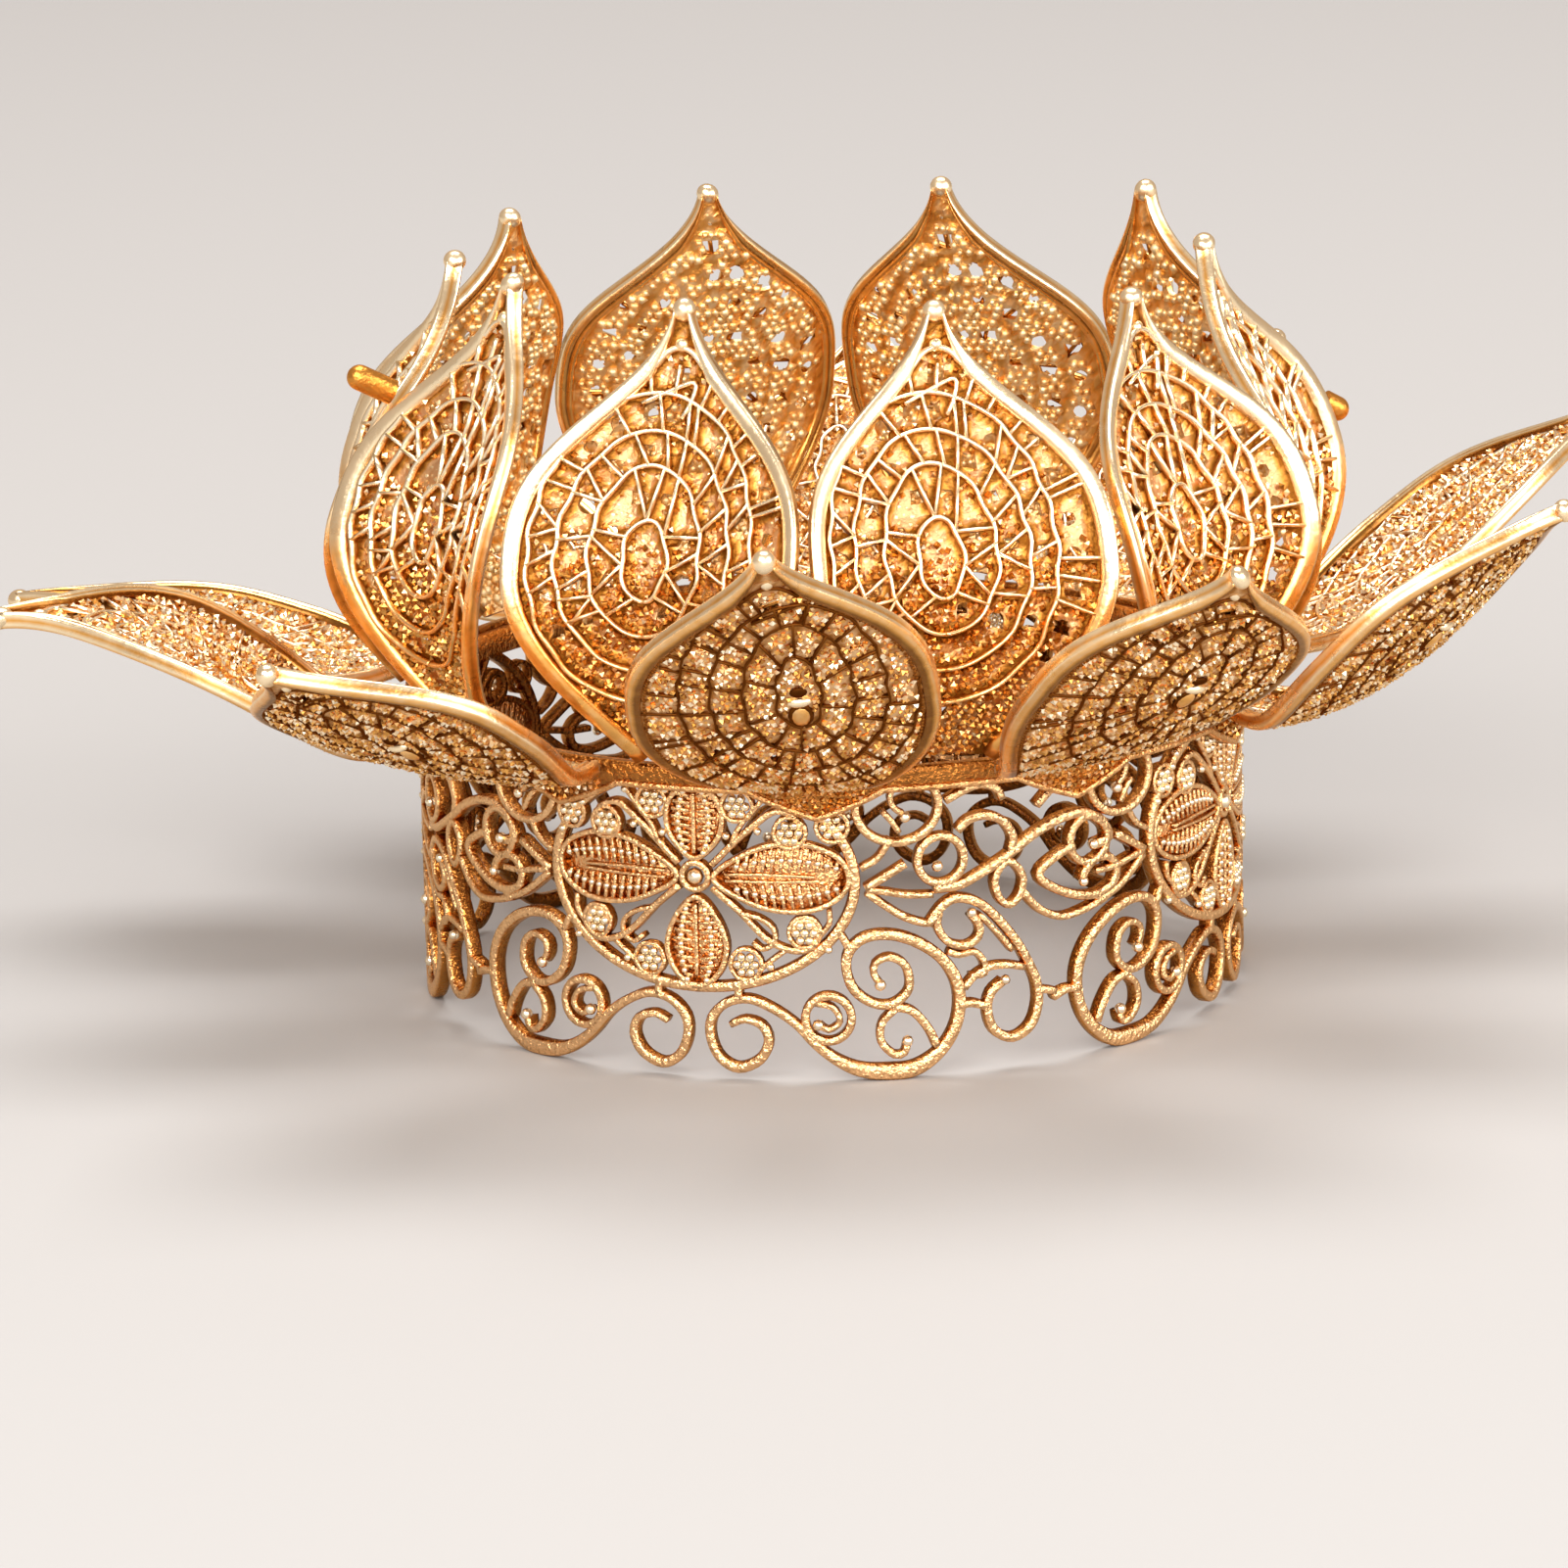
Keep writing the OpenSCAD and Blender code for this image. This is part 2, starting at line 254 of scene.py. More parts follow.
def sweep(
    path: Array, form: Array, width: float | Array, lift: float, tall: float, closed: bool = False
) -> Parts:
    """Carry a closed profile along a flat path.

    Point (i, j) is path point i, plus the profile's first column times width along the path's right side,
    and its height is lift plus the profile's second column times tall.

    Args:
        path: points of the path.
        form: profile, anticlockwise with the right side as its first axis and height as its second.
        width: width of the profile, for all points or one for each.
        lift: height of the profile's middle.
        tall: height of the profile.
        closed: True where the path runs back into its start.

    Returns:
        Points, four-sided faces and three-sided end faces.
    """
    n, m = len(path), len(form)
    d = directions(path, closed)
    right = np.stack([d[:, 1], -d[:, 0]], 1)
    flat = path[:, None] + right[:, None] * (form[None, :, :1] * np.reshape(width, (-1, 1, 1)))
    high = np.broadcast_to(lift + form[None, :, 1:] * tall, (n, m, 1))
    points = np.concatenate([flat, high], 2).reshape(-1, 3)
    fan = np.stack([np.zeros(m - 2, int), np.arange(1, m - 1), np.arange(2, m)], 1)
    ends = NO_TRIS if closed else np.concatenate([fan, fan[:, ::-1] + (n - 1) * m])
    return points, ring_quads(n, m, closed), ends


def scattered(forms: Array, quads: Array, tris: Array, centres: Array, radius: float | Array) -> Parts:
    """Put a small form of unit size at each centre: its points times the radius, plus the centre.

    Args:
        forms: points of the form, once for all centres or once for each.
        quads: its four-sided faces.
        tris: its three-sided faces.
        centres: one row of three lengths for each copy.
        radius: radius of the copies, for all or one for each.

    Returns:
        Points and faces of all copies.
    """
    size = np.broadcast_to(radius, len(centres))[:, None, None]
    points = (centres[:, None] + forms * size).reshape(-1, 3)
    shift = np.arange(len(centres))[:, None, None] * forms.shape[1]
    return points, (quads + shift).reshape(-1, 4), (tris + shift).reshape(-1, 3)


def beads(centres: Array, radius: float | Array, rings: int, sides: int) -> Parts:
    """Small balls, each a stack of rings of points between two poles.

    Args:
        centres: one row of three lengths for each ball.
        radius: radius of the balls, for all or one for each.
        rings: rings between the poles.
        sides: points of a ring.

    Returns:
        Points, four-sided faces and three-sided faces at the poles.
    """
    polar = np.pi * np.arange(1, rings + 1) / (rings + 1)
    turn = 2 * np.pi * np.arange(sides) / sides
    out, up = np.sin(polar), np.cos(polar)
    ring = [np.outer(out, np.cos(turn)), np.outer(out, np.sin(turn)), np.outer(up, np.ones(sides))]
    ball = np.concatenate([np.stack(ring, -1).reshape(-1, 3), [[0, 0, 1.0], [0, 0, -1.0]]])
    k = np.arange(sides)
    k2 = (k + 1) % sides
    top, last = rings * sides, (rings - 1) * sides
    cap = np.column_stack([np.full(sides, top), k, k2])
    foot = np.column_stack([np.full(sides, top + 1), last + k2, last + k])
    tris = np.concatenate([cap, foot])
    return scattered(ball[None], ring_quads(rings, sides, False), tris, centres, radius)


def grains(centres: Array, radius: float | Array, seed: int) -> Parts:
    """Cut grains, each two four-sided pyramids base to base, turned about its upright axis by chance.

    Args:
        centres: one row of three lengths for each grain.
        radius: half-size of the grains, for all or one for each.
        seed: seed of the chance turns and tilts.

    Returns:
        Points and three-sided faces.
    """
    rng = np.random.default_rng(seed)
    n = len(centres)
    turn = rng.uniform(0, np.pi / 2, n)[:, None] + np.arange(4)[None] * np.pi / 2
    tilt = rng.uniform(-0.35, 0.35, (n, 2))
    east, north = np.cos(turn), np.sin(turn)
    belt = np.stack([east, north, east * tilt[:, :1] + north * tilt[:, 1:]], -1)
    pole = raised(-tilt * 0.6, 0.85)[:, None]
    k = np.arange(4)
    k2 = (k + 1) % 4
    tris = np.concatenate([np.stack([k, k2, np.full(4, 4)], 1), np.stack([k2, k, np.full(4, 5)], 1)])
    return scattered(np.concatenate([belt, pole, -pole], 1), NO_QUADS, tris, centres, radius)


def runs_inside(path: Array, inside: Array) -> list[Array]:
    """Split a path into its runs of three or more points that are inside."""
    cuts = np.flatnonzero(np.diff(inside.astype(int))) + 1
    return [run for run, ok in zip(np.split(path, cuts), np.split(inside, cuts)) if ok[0] and len(run) > 2]


def least_distance(points: Array, others: Array) -> Array:
    """Distance from each point to the nearest of the others, worked out in blocks of about 500."""
    blocks = np.array_split(points, max(1, len(points) // 500))
    return np.concatenate([np.sqrt(((block[:, None] - others) ** 2).sum(2).min(1)) for block in blocks])


def smooth(low: float, high: float, value: Array) -> Array:
    """0 below low, 1 above high, and an even rise between them."""
    t = np.clip((value - low) / (high - low), 0, 1)
    return t * t * (3 - 2 * t)


def cubic(c: Array, s: Array) -> tuple[Array, Array]:
    """Points and directions of a cubic curve.

    A point is the sum of the control points, each times its share at the station, and a direction is the
    like sum of the steps between them.

    Args:
        c: the four control points.
        s: stations, 0 at the first control point and 1 at the last.

    Returns:
        A point and a unit direction for each station.
    """
    t = s[:, None]
    points = (1 - t) ** 3 * c[0] + 3 * (1 - t) ** 2 * t * c[1] + 3 * (1 - t) * t**2 * c[2] + t**3 * c[3]
    slope = (1 - t) ** 2 * (c[1] - c[0]) + 2 * (1 - t) * t * (c[2] - c[1]) + t**2 * (c[3] - c[2])
    return points, slope / np.linalg.norm(slope, axis=1, keepdims=True)


def lengths(steps: Array) -> Array:
    """Length from the start to each point of a line, from its steps' lengths."""
    return np.concatenate([[0], np.cumsum(steps)])


# Petals


@dataclass
class Family:
    """Form and filigree of one ring of petals, laid out flat.

    A flat petal has x across it, v along its middle line from the base and h off its middle surface,
    towards the side that faces away from the crown's axis. A station is a share of the middle line's
    curve, 0 at the base and 1 at the tip.
    """

    wide: float
    # Station of the greatest width
    peak: float
    # Height of the middle over the sides, as a share of the square of x
    cup: float
    middle: Array
    face: Face
    # The eye's place aside of the middle line, and its level
    aside: float
    level: float
    # Nested arcs round the eye: half-width, then height above and below its level
    arcs: Array
    # The front's cells are packed with grains below this length
    plain_above: float
    # Share of the places for open cells that are used
    holes_kept: float
    seed: int
    wire_lift: float
    wire_tall: float
    front_level: float
    back_pitch: float
    back_sizes: tuple[float, float]
    rim: float = 1.18
    full: float = 1.54
    tip_ball: float = 0.80
    base_share: float = 0.30
    tip_share: float = 0.05
    # Share of the tip's neck that its rim may take
    neck_share: float = 0.42
    arc_wide: float = 0.31
    link_wide: float = 0.26
    # How far an arc wavers aside
    waver: float = 0.12
    # Spacing of the links on the eye's arc and on the others, and the share of them that fork
    eye_spacing: float = 2.6
    link_spacing: float = 2.1
    forked: float = 0.6
    # Length below the tip without forks
    fork_end: float = 11.0
    # Lengths at the base and at the tip without filigree
    foot: float = 0.3
    neck: float = 3.8
    # Size of the sheet's facets
    pitch: float = 0.4
    # Stations of the middle line with their lengths from the base, and the side with the good face
    s: Array = field(init=False)
    v: Array = field(init=False)
    length: float = field(init=False)
    inner: bool = field(init=False)
    # The layout: its mesh and wires, points along the lines that part the cells of the front and of the
    # back, holes, and places that carry no grains
    out: Buffer = field(init=False)
    paths: list[tuple[Array, float]] = field(init=False)
    lines: Array = field(init=False)
    behind: Array = field(init=False)
    holes: Array = field(init=False)
    bare: Array = field(init=False)

    def __post_init__(self) -> None:
        """Measure the middle line: the length from the base at each of its stations."""
        self.s = np.linspace(0, 1, 400)
        self.v = lengths(np.linalg.norm(np.diff(cubic(self.middle, self.s)[0], axis=0), axis=1))
        self.length = float(self.v[-1])
        self.inner = self.face is Face.OUT

    def half(self, s: Array) -> Array:
        """Half of the width at station s: it swells from the base, then draws in to an ogee tip.

        It rises from its share at the base with a sine, and falls to its share at the tip with the square
        of a cosine.

        Args:
            s: stations.

        Returns:
            One length for each station.
        """
        rise = np.sin(np.pi / 2 * np.clip(s / self.peak, 0, 1)) ** 1.15
        u = np.clip((s - self.peak) / (1 - self.peak), 0, 1)
        fall = np.cos(np.pi / 2 * u**self.full) ** 2
        low = self.base_share + (1 - self.base_share) * rise
        high = self.tip_share + (1 - self.tip_share) * fall
        return self.wide / 2 * np.where(s < self.peak, low, high)

    def half_at(self, v: Array) -> Array:
        """Half of the width at length v from the base."""
        return self.half(np.interp(v, self.v, self.s))

    def rim_at(self, v: Array) -> Array:
        """Width of the rim at length v, narrower in the tip's neck."""
        return np.minimum(self.rim, self.neck_share * self.half_at(v))

    def glow(self, v: Array) -> Array:
        """Factor on the shade at length v, for painted shadow: an inner petal darkens smoothly towards its
        foot, which the outer petals shade.
        """
        return 0.50 + 0.50 * smooth(8.0, 17.0, v) if self.inner else np.ones_like(v)

    def inside(self, flat: Array, margin: float) -> Array:
        """Whether flat points lie inside the rim's inner edge, between the foot and the tip's neck.

        Args:
            flat: rows of x and v.
            margin: least distance to the edge.

        Returns:
            True or False for each point.
        """
        x, v = flat.T
        room = self.half_at(v) - self.rim_at(v) - margin
        return (np.abs(x) < room) & (v > self.foot) & (v < self.length - self.neck)

    def add_rims(self) -> None:
        """The two raised rims and the tip's ball.

        A rounded profile, grooved on its edge and its inner face, runs along each side. Its colour has
        painted highlights on its outer parts, and painted shade in the two grooves, on the side turned from
        the light and towards an inner petal's foot.
        """
        wide = 1.38
        form = np.array(
            [
                [0.00, 0.30], [-0.10, 0.50], [-0.35, 0.60], [-0.75, 0.62], [-1.10, 0.56], [-1.32, 0.40],
                [-1.38, 0.10], [-1.38, -0.20], [-1.24, -0.46], [-1.00, -0.57], [-0.82, -0.54], [-0.68, -0.40],
                [-0.54, -0.54], [-0.30, -0.58], [-0.10, -0.50], [0.00, -0.32], [-0.13, 0.00],
            ]
        )
        x, h = form.T
        ball_s = float(np.interp(self.length - self.tip_ball, self.v, self.s))
        s = np.concatenate([np.linspace(0, 0.8, 32, endpoint=False), np.linspace(0.8, ball_s, 20)])
        v = np.interp(s, self.s, self.v)
        path = np.stack([self.half(s), v], 1)
        points, quads, tris = sweep(path, form * [1 / wide, 1], self.rim_at(v), 0.0, 1.0)
        points[:, 0] = np.maximum(points[:, 0], 0.012)
        # Painted light: highlights on the faces turned to the light, shade on the faces turned away and in
        # the grooves.
        if self.inner:
            shade = np.where((h > 0.05) | (x > -0.12), 1.0, 0.50)
        else:
            shade = np.where((h < 0.35) & (x > -1.2), 1.0, np.where(x < -0.7, 0.05, 0.60))
        shade[[11, 16]] = (0.05, 0.45)
        part = Buffer()
        part.add((points, quads, tris), Skin.RIM, (shade[None, :] * self.glow(v)[:, None]).ravel())
        part = part.joined()
        self.out.append(part, part.points[0])
        self.out.append(part, part.points[0] * [-1, 1, 1], mirrored=True)
        tip = np.array([[0, self.length - self.tip_ball, 0]])
        self.out.add(beads(tip, self.tip_ball, 9, 18), Skin.RIM, 0.95)

    def add_milgrain(self) -> None:
        """A fine row of grains along the rim's inner edge, on the face away from the axis, dark with painted
        shade.
        """
        inset, start, pitch, level, size = 0.08, 0.2, 0.36, 0.40, 0.22
        s = np.linspace(0.03, 0.85, 600)
        v = np.interp(s, self.s, self.v)
        x = self.half(s) - self.rim_at(v) - inset
        run = lengths(np.hypot(np.diff(x), np.diff(v)))
        at = np.arange(start, run[-1], pitch)
        x, v = np.interp(at, run, x), np.interp(at, run, v)
        both = np.concatenate([np.stack([x, v], 1), np.stack([-x, v], 1)])
        both = both[np.abs(both[:, 0]) > 0.5]
        self.out.add(grains(raised(both, level), size, self.seed), Skin.GROOVE, 0.55)

    def ring(self, row: Array, turn: Array) -> Array:
        """Points of a nested arc: an oval whose upper and lower halves have their own heights."""
        rise = np.where(np.cos(turn) > 0, row[1], row[2])
        return np.stack([self.aside + row[0] * np.sin(turn), self.level + rise * np.cos(turn)], 1)

    def wires(self) -> list[tuple[Array, float]]:
        """Lay out every wire of the filigree.

        The nested arcs go round the eye. Links join each arc to the next, and the last to the rim, at even
        turns moved a little by chance, every other row by half a space more. On an inner petal each link
        between two arcs leans to one side, and most have a second one that leans to the other, which
        makes a fork. The number of links follows the oval's girth. Two wires close the tip.

        Returns:
            A flat path and a width for each wire.
        """
        rng = np.random.default_rng(self.seed)
        found: list[tuple[Array, float]] = []
        rows = list(self.arcs)
        for row in rows:
            path = self.ring(row, np.linspace(-np.pi, np.pi, int(14 + 10.5 * row[1])))
            path[:, 0] += self.waver * np.sin(2.1 * path[:, 1] + row[0])
            found += [(run, self.arc_wide) for run in runs_inside(path, self.inside(path, -0.2))]
        rows.append(rows[-1] * [1.5, 1.35, 1.5])
        lowest = self.plain_above - 5.0 if self.inner else 0.0
        for k, (near, far) in enumerate(zip(rows[:-1], rows[1:])):
            last = k + 2 == len(rows)
            a, b = near[:2]
            girth = np.pi * (3 * (a + b) - math.sqrt((3 * a + b) * (a + 3 * b)))
            number = int(round((girth + 3.4) / (self.link_spacing if k else self.eye_spacing)))
            turn = (np.arange(number) + 0.5 * (k % 2)) / number * 2 * np.pi
            turn += rng.uniform(-0.10, 0.10, number)
            fork = rng.uniform(0.28, 0.46, number) * 2 * np.pi / number
            share = np.linspace(0, 1, 7 if last else 3)[:, None]
            for side in (-1, 1) if self.inner and not last else (0,):
                kept = (rng.uniform(0, 1, number) < self.forked) | (side < 1)
                kept &= (side < 1) | (self.ring(far, turn)[:, 1] < self.length - self.fork_end)
                ends = zip(self.ring(near, turn[kept]), self.ring(far, (turn + side * fork)[kept]))
                for start, end in ends:
                    path = start + (end - start) * share
                    good = self.inside(path, -0.3) & (path[:, 1] > lowest)
                    found += [(run, self.link_wide) for run in runs_inside(path, good)]
        arch = np.array([[-1.9, -4.6], [-0.9, -3.5], [0, -3.2], [0.9, -3.5], [1.9, -4.6]])
        found.append((spline(arch + [0, self.length], False, 0.4), 0.46))
        hook = np.array([[-1.9, -6.9], [-0.2, -6.1], [1.7, -5.4], [1.6, -6.6], [1.0, -7.8]])
        found.append((spline(hook + [self.aside * 0.5, self.length], False, 0.5), 0.32))
        return found

    def add_wires(self) -> None:
        """Rounded wires that stand off the sheet on the petal's good face, with painted highlights along
        their crests and painted shade at their feet and towards an inner petal's foot.
        """
        for path, width in self.paths:
            # Painted shade at the wire's foot and towards an inner petal's foot, painted highlight on its
            # crest.
            shade = np.outer(0.25 + 0.75 * self.glow(path[:, 1]), [0.0, 0.75, 1, 1, 0.75, 0.0]).ravel()
            wire = sweep(path, WIRE_FORM, width, self.wire_lift, self.wire_tall)
            self.out.add(turned(wire, self.face), Skin.WIRE, shade)

    def add_grooves(self) -> None:
        """Dark strips on the back that follow the wires and part its grained cells: painted shade that stands
        in for shaded channels.
        """
        for path, _ in self.paths:
            strip = sweep(path[:: 2 if len(path) > 8 else 1], STRIP_FORM, 0.155, 0.43, 0.22)
            self.out.add(turned(strip, -self.face), Skin.GROOVE, 0.3)

    def add_eye(self) -> None:
        """In the eye, on the back, balls stretched to length: a dark one that paints the shade of a hollow, a
        bar painted bright as a highlight, and a drop in a dark ring of painted shade.
        """
        # Rows: place up from the eye's level, radius, stretch, finish and shade
        rows = (
            (1.1, 0.55, (1.1, 0.9, 0.3), Skin.GROOVE, 0.0),
            (0.15, 0.42, (2.1, 0.9, 1.0), Skin.RIM, 1.0),
            (-1.45, 0.60, (1.1, 1.75, 0.6), Skin.RIM, 0.55),
            (-1.45, 0.70, (1.25, 1.9, 0.25), Skin.GROOVE, 0.2),
        )
        for up, radius, stretch, skin, shade in rows:
            points, quads, tris = beads(np.zeros((1, 3)), radius, 5, 12)
            place = [self.aside, self.level + up, -0.48 * self.face]
            self.out.add((points * stretch + place, quads, tris), skin, shade)

    def open_cells(self, lines: Array) -> Array:
        """Places of holes: between two arcs, in rows, kept by chance where the wires leave room.

        Args:
            lines: points along the arcs.

        Returns:
            One row for each hole: x, v and radius.
        """
        rng = np.random.default_rng(self.seed + 7)
        least, wall = 0.42, 0.12
        rows = list(self.arcs)
        rows.append(rows[-1] * [1.28, 1.22, 1.25])
        spots = []
        for k, (near, far) in enumerate(zip(rows[:-1], rows[1:])):
            number = 8 + 7 * k
            turn = (np.arange(number) + 0.5 + rng.uniform(-0.15, 0.15, number)) / number * 2 * np.pi
            spots.append(0.5 * (self.ring(near, turn) + self.ring(far, turn)))
        flat = np.concatenate(spots)
        room = least_distance(flat, lines)
        chance = self.holes_kept * (0.35 + smooth(5, 17, flat[:, 1]))
        keep = self.inside(flat, 0.35) & (room > least) & (rng.uniform(0, 1, len(flat)) < chance)
        size = np.minimum(room - wall, rng.uniform(0.36, 0.60, len(flat)))
        return np.concatenate([raised(flat, size)[keep], [[0.0, self.length - 5.0, 0.62]]])

    def facets(self, rng: np.random.Generator) -> tuple[Array, Array]:
        """Lay out the sheet's facets: a grid whose points are shifted a little by chance.

        A point just outside the sheet moves onto its edge, and a point beside a hole onto the hole's.
        Facets with a corner in a hole or outside the sheet are left out.

        Args:
            rng: source of the shifts.

        Returns:
            Flat points of the grid, and the facets.
        """
        xs = np.arange(-self.wide / 2, self.wide / 2 + self.pitch, self.pitch)
        vs = np.arange(0.0, self.length - 0.7, self.pitch)
        x, v = np.meshgrid(xs, vs, indexing="ij")
        shape = x.shape
        x, v = x + rng.uniform(-0.09, 0.09, shape), v + rng.uniform(-0.09, 0.09, shape) * (v > 0)
        edge = (self.half_at(v) - 0.6 * self.rim_at(v)).ravel()
        flat = np.stack([x.ravel(), v.ravel()], 1)
        gap = flat[:, None] - self.holes[None, :, :2]
        far = np.linalg.norm(gap, axis=2)
        nearest = np.argmin(far - self.holes[None, :, 2], axis=1)
        pick = np.arange(len(flat))
        dist, size = far[pick, nearest], self.holes[nearest, 2]
        snap = np.abs(dist - size) < 0.5 * self.pitch
        unit = gap[pick, nearest] / np.maximum(dist, 1e-6)[:, None]
        flat = np.where(snap[:, None], self.holes[nearest, :2] + unit * size[:, None], flat)
        outside = np.abs(flat[:, 0]) > edge
        near_edge = outside & (np.abs(flat[:, 0]) < edge + self.pitch)
        flat[near_edge, 0] = np.sign(flat[near_edge, 0]) * edge[near_edge]
        good = (~outside | near_edge) & ((dist > size - 0.01) | snap)
        index = np.arange(x.size).reshape(shape)
        corners = [index[:-1, :-1], index[1:, :-1], index[1:, 1:], index[:-1, 1:]]
        front = np.stack(corners, -1).reshape(-1, 4)
        return flat, front[good[front].all(1)]

    def add_sheet(self) -> None:
        """The web's backing: a grid of small facets with a dished front and a channelled back.

        The front's height falls smoothly from each wire to the cell's middle, an inner petal's back has a
        low ridge along each line, and both carry low waves or small chance steps, as cast metal does.
        Walls join the two faces round every edge.
        """
        rng = np.random.default_rng(self.seed + 5)
        flat, front = self.facets(rng)
        total = len(flat)
        x, v = flat.T
        near, rear = least_distance(flat, self.lines), least_distance(flat, self.behind)
        wave = 0.05 * np.sin(2.9 * x + 1.3 * v) * np.sin(2.3 * v - 0.7 * x)
        face, dish, back, ridge = 0.06, 0.28, -0.44, 0.14 if self.inner else 0.0
        high = face - dish * smooth(0.1, 0.85, near) + wave * 0.6
        high += rng.uniform(-1, 1, total) * (0.04 if self.inner else 0.07)
        low = back + ridge * np.exp(-((rear / 0.3) ** 2))
        low += rng.uniform(-0.06, 0.06, total)
        # Painted shade: the front darkens next to each wire and towards an inner petal's foot, and the back
        # along its lines; the chance part is random tone.
        shade_front = -0.15 + 1.1 * smooth(0.18, 0.65, near) + rng.uniform(-0.12, 0.12, total)
        shade_front -= 0.5 * (1.0 - self.glow(v))
        shade_back = 0.45 + 0.40 * smooth(0.15, 0.5, rear) + rng.uniform(-0.2, 0.2, total)
        edges = np.concatenate([front[:, [k, (k + 1) % 4]] for k in range(4)])
        rim = edges[~np.isin(edges @ [total, 1], edges @ [1, total])]
        walls = np.stack([rim[:, 1], rim[:, 0], rim[:, 0] + total, rim[:, 1] + total], 1)
        quads = np.concatenate([front, front[:, ::-1] + total, walls])
        used, packed = np.unique(quads, return_inverse=True)
        points = np.concatenate([raised(flat, high), raised(flat, low)])[used]
        skins = np.where(np.arange(len(quads)) < len(front), int(Skin.WEB), int(Skin.BED))
        parts = turned((points, packed.reshape(quads.shape), NO_TRIS), self.face)
        self.out.add(parts, skins, np.concatenate([shade_front, shade_back])[used], flat=True)

    def add_grains(self) -> None:
        """Grains packed in rows on the back of the web, and on its front below the plain cells.

        On the front some more lie beside the wires. The back of an inner petal has small soft balls, and
        all other grains are cut.
        """
        rng = np.random.default_rng(self.seed + 3)
        jitter, row_rise, beside_wire = 0.13, 0.866, 0.55
        # Rows: side, level, pitch and sizes, then the lines kept clear
        back = (-1, 0.46, self.back_pitch, self.back_sizes, self.behind)
        front = (1, self.front_level, 0.52, (0.22, 0.30), self.lines)
        for side, level, pitch, sizes, lines in (back, front):
            ups = np.arange(0.5, self.length - 1.5, pitch * row_rise)
            v, x = np.meshgrid(ups, np.arange(-self.wide / 2, self.wide / 2, pitch), indexing="ij")
            x = x + (np.arange(len(ups)) % 2)[:, None] * pitch / 2
            flat = np.stack([x.ravel(), v.ravel()], 1) + rng.uniform(-jitter, jitter, (x.size, 2))
            gap = np.linalg.norm(flat[:, None] - self.bare[None, :, :2], axis=2) - self.bare[None, :, 2]
            near = least_distance(flat, lines)
            room = 0.26 if side > 0 or self.inner else 0.22
            keep = self.inside(flat, 0.12) & (gap.min(1) > 0.08) & (near > room)
            if side > 0:
                beside = (near < beside_wire) & (rng.uniform(0, 1, len(flat)) < 0.45)
                keep &= (flat[:, 1] < self.plain_above + rng.uniform(-2, 2, len(flat))) | beside
            spot = flat[keep]
            size = rng.uniform(*sizes, len(spot))
            parts = grains(raised(spot, side * level * self.face), size, self.seed + side)
            if side < 0 and self.inner:
                shade = rng.uniform(0.55, 1.0, len(spot))
                self.out.add(parts, Skin.BEAD, np.repeat(shade, 6))
            else:
                dark = 0.45 if side > 0 and not self.inner else 0.1
                # The factor paints shade towards an inner petal's foot; the chance part is random tone.
                shade = rng.uniform(dark, 1.0, len(spot)) * (0.3 + 0.7 * self.glow(spot[:, 1]))
                self.out.add(parts, Skin.WIRE, np.repeat(shade, 6), flat=True)

    def flat_petal(self) -> Buffer:
        """Lay out the whole petal flat.

        Returns:
            Its joined mesh.
        """
        self.out = Buffer()
        self.paths = self.wires()
        s = np.linspace(0, 1, 120)
        v = np.interp(s, self.s, self.v)
        x = self.half(s) - self.rim_at(v)
        sides = np.concatenate([np.stack([x, v], 1), np.stack([-x, v], 1)])
        self.lines = np.concatenate([spline(path, False, 0.4) for path, _ in self.paths] + [sides])
        arcs = np.concatenate([path for path, width in self.paths if width > self.link_wide] + [sides])
        self.behind = arcs if self.inner else self.lines
        self.holes = self.open_cells(arcs)
        self.bare = self.holes
        self.add_rims()
        if not self.inner:
            eye = np.array([[0, 1.1, 0.55], [0, -0.1, 0.75], [0, -1.5, 0.85]])
            self.bare = np.concatenate([self.holes, eye + [self.aside, self.level, 0]])
            self.add_milgrain()
        self.add_wires()
        self.add_sheet()
        self.add_grains()
        if not self.inner:
            self.add_grooves()
            self.add_eye()
        drop = np.array([[0, self.length - 3.0, 0.1]])
        self.out.add(beads(drop, 0.52, 7, 14), Skin.RIM, 1.0)
        return self.out.joined()


@dataclass
class Petal:
    """One petal as it stands: its middle line, and how it was bent by hand."""

    name: str
    family: Family
    line: Array
    azimuth: float
    roll: float
    sway: float
    yaw: float

    def place(self, flat: Array) -> Array:
        """Carry flat points onto the petal.

        A point at length v is put on the middle line's station for that length. Across the petal the
        height falls by the cup times the square of x. The section is rolled in step with the station,
        swayed by its cube, laid square to the middle line, turned about the seat and set at its azimuth.

        Args:
            flat: rows of x, v and h.

        Returns:
            Places in the crown's frame.
        """
        x, v, h = flat.T
        s = np.interp(v, self.family.v, self.family.s)
        mid, ahead = cubic(self.line, s)
        roll = self.roll * s * DEG
        drop = h - self.family.cup * x * x
        lateral = x * np.cos(roll) - drop * np.sin(roll) + self.sway * s**3
        off = x * np.sin(roll) + drop * np.cos(roll)
        base = self.line[0, 0]
        reach = mid[:, 0] + ahead[:, 1] * off - base
        z = mid[:, 1] - ahead[:, 0] * off
        yaw, az = self.yaw * DEG, self.azimuth * DEG
        r = base + reach * math.cos(yaw) - lateral * math.sin(yaw)
        t = reach * math.sin(yaw) + lateral * math.cos(yaw)
        return np.stack([r * math.sin(az) + t * math.cos(az), -r * math.cos(az) + t * math.sin(az), z], 1)

    def build(self, flat: Buffer, materials: list[bpy.types.Material], slot: str) -> None:
        """Make the petal's mesh and let it stand for its CAD node.

        Args:
            flat: the family's flat petal.
            materials: one material for each Skin.
            slot: not used.
        """
        out = Buffer()
        out.append(flat, self.place(flat.points[0]))
        piece = out.build(self.name + "_leaf", materials)
        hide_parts(self.name)
        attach(piece, "root")


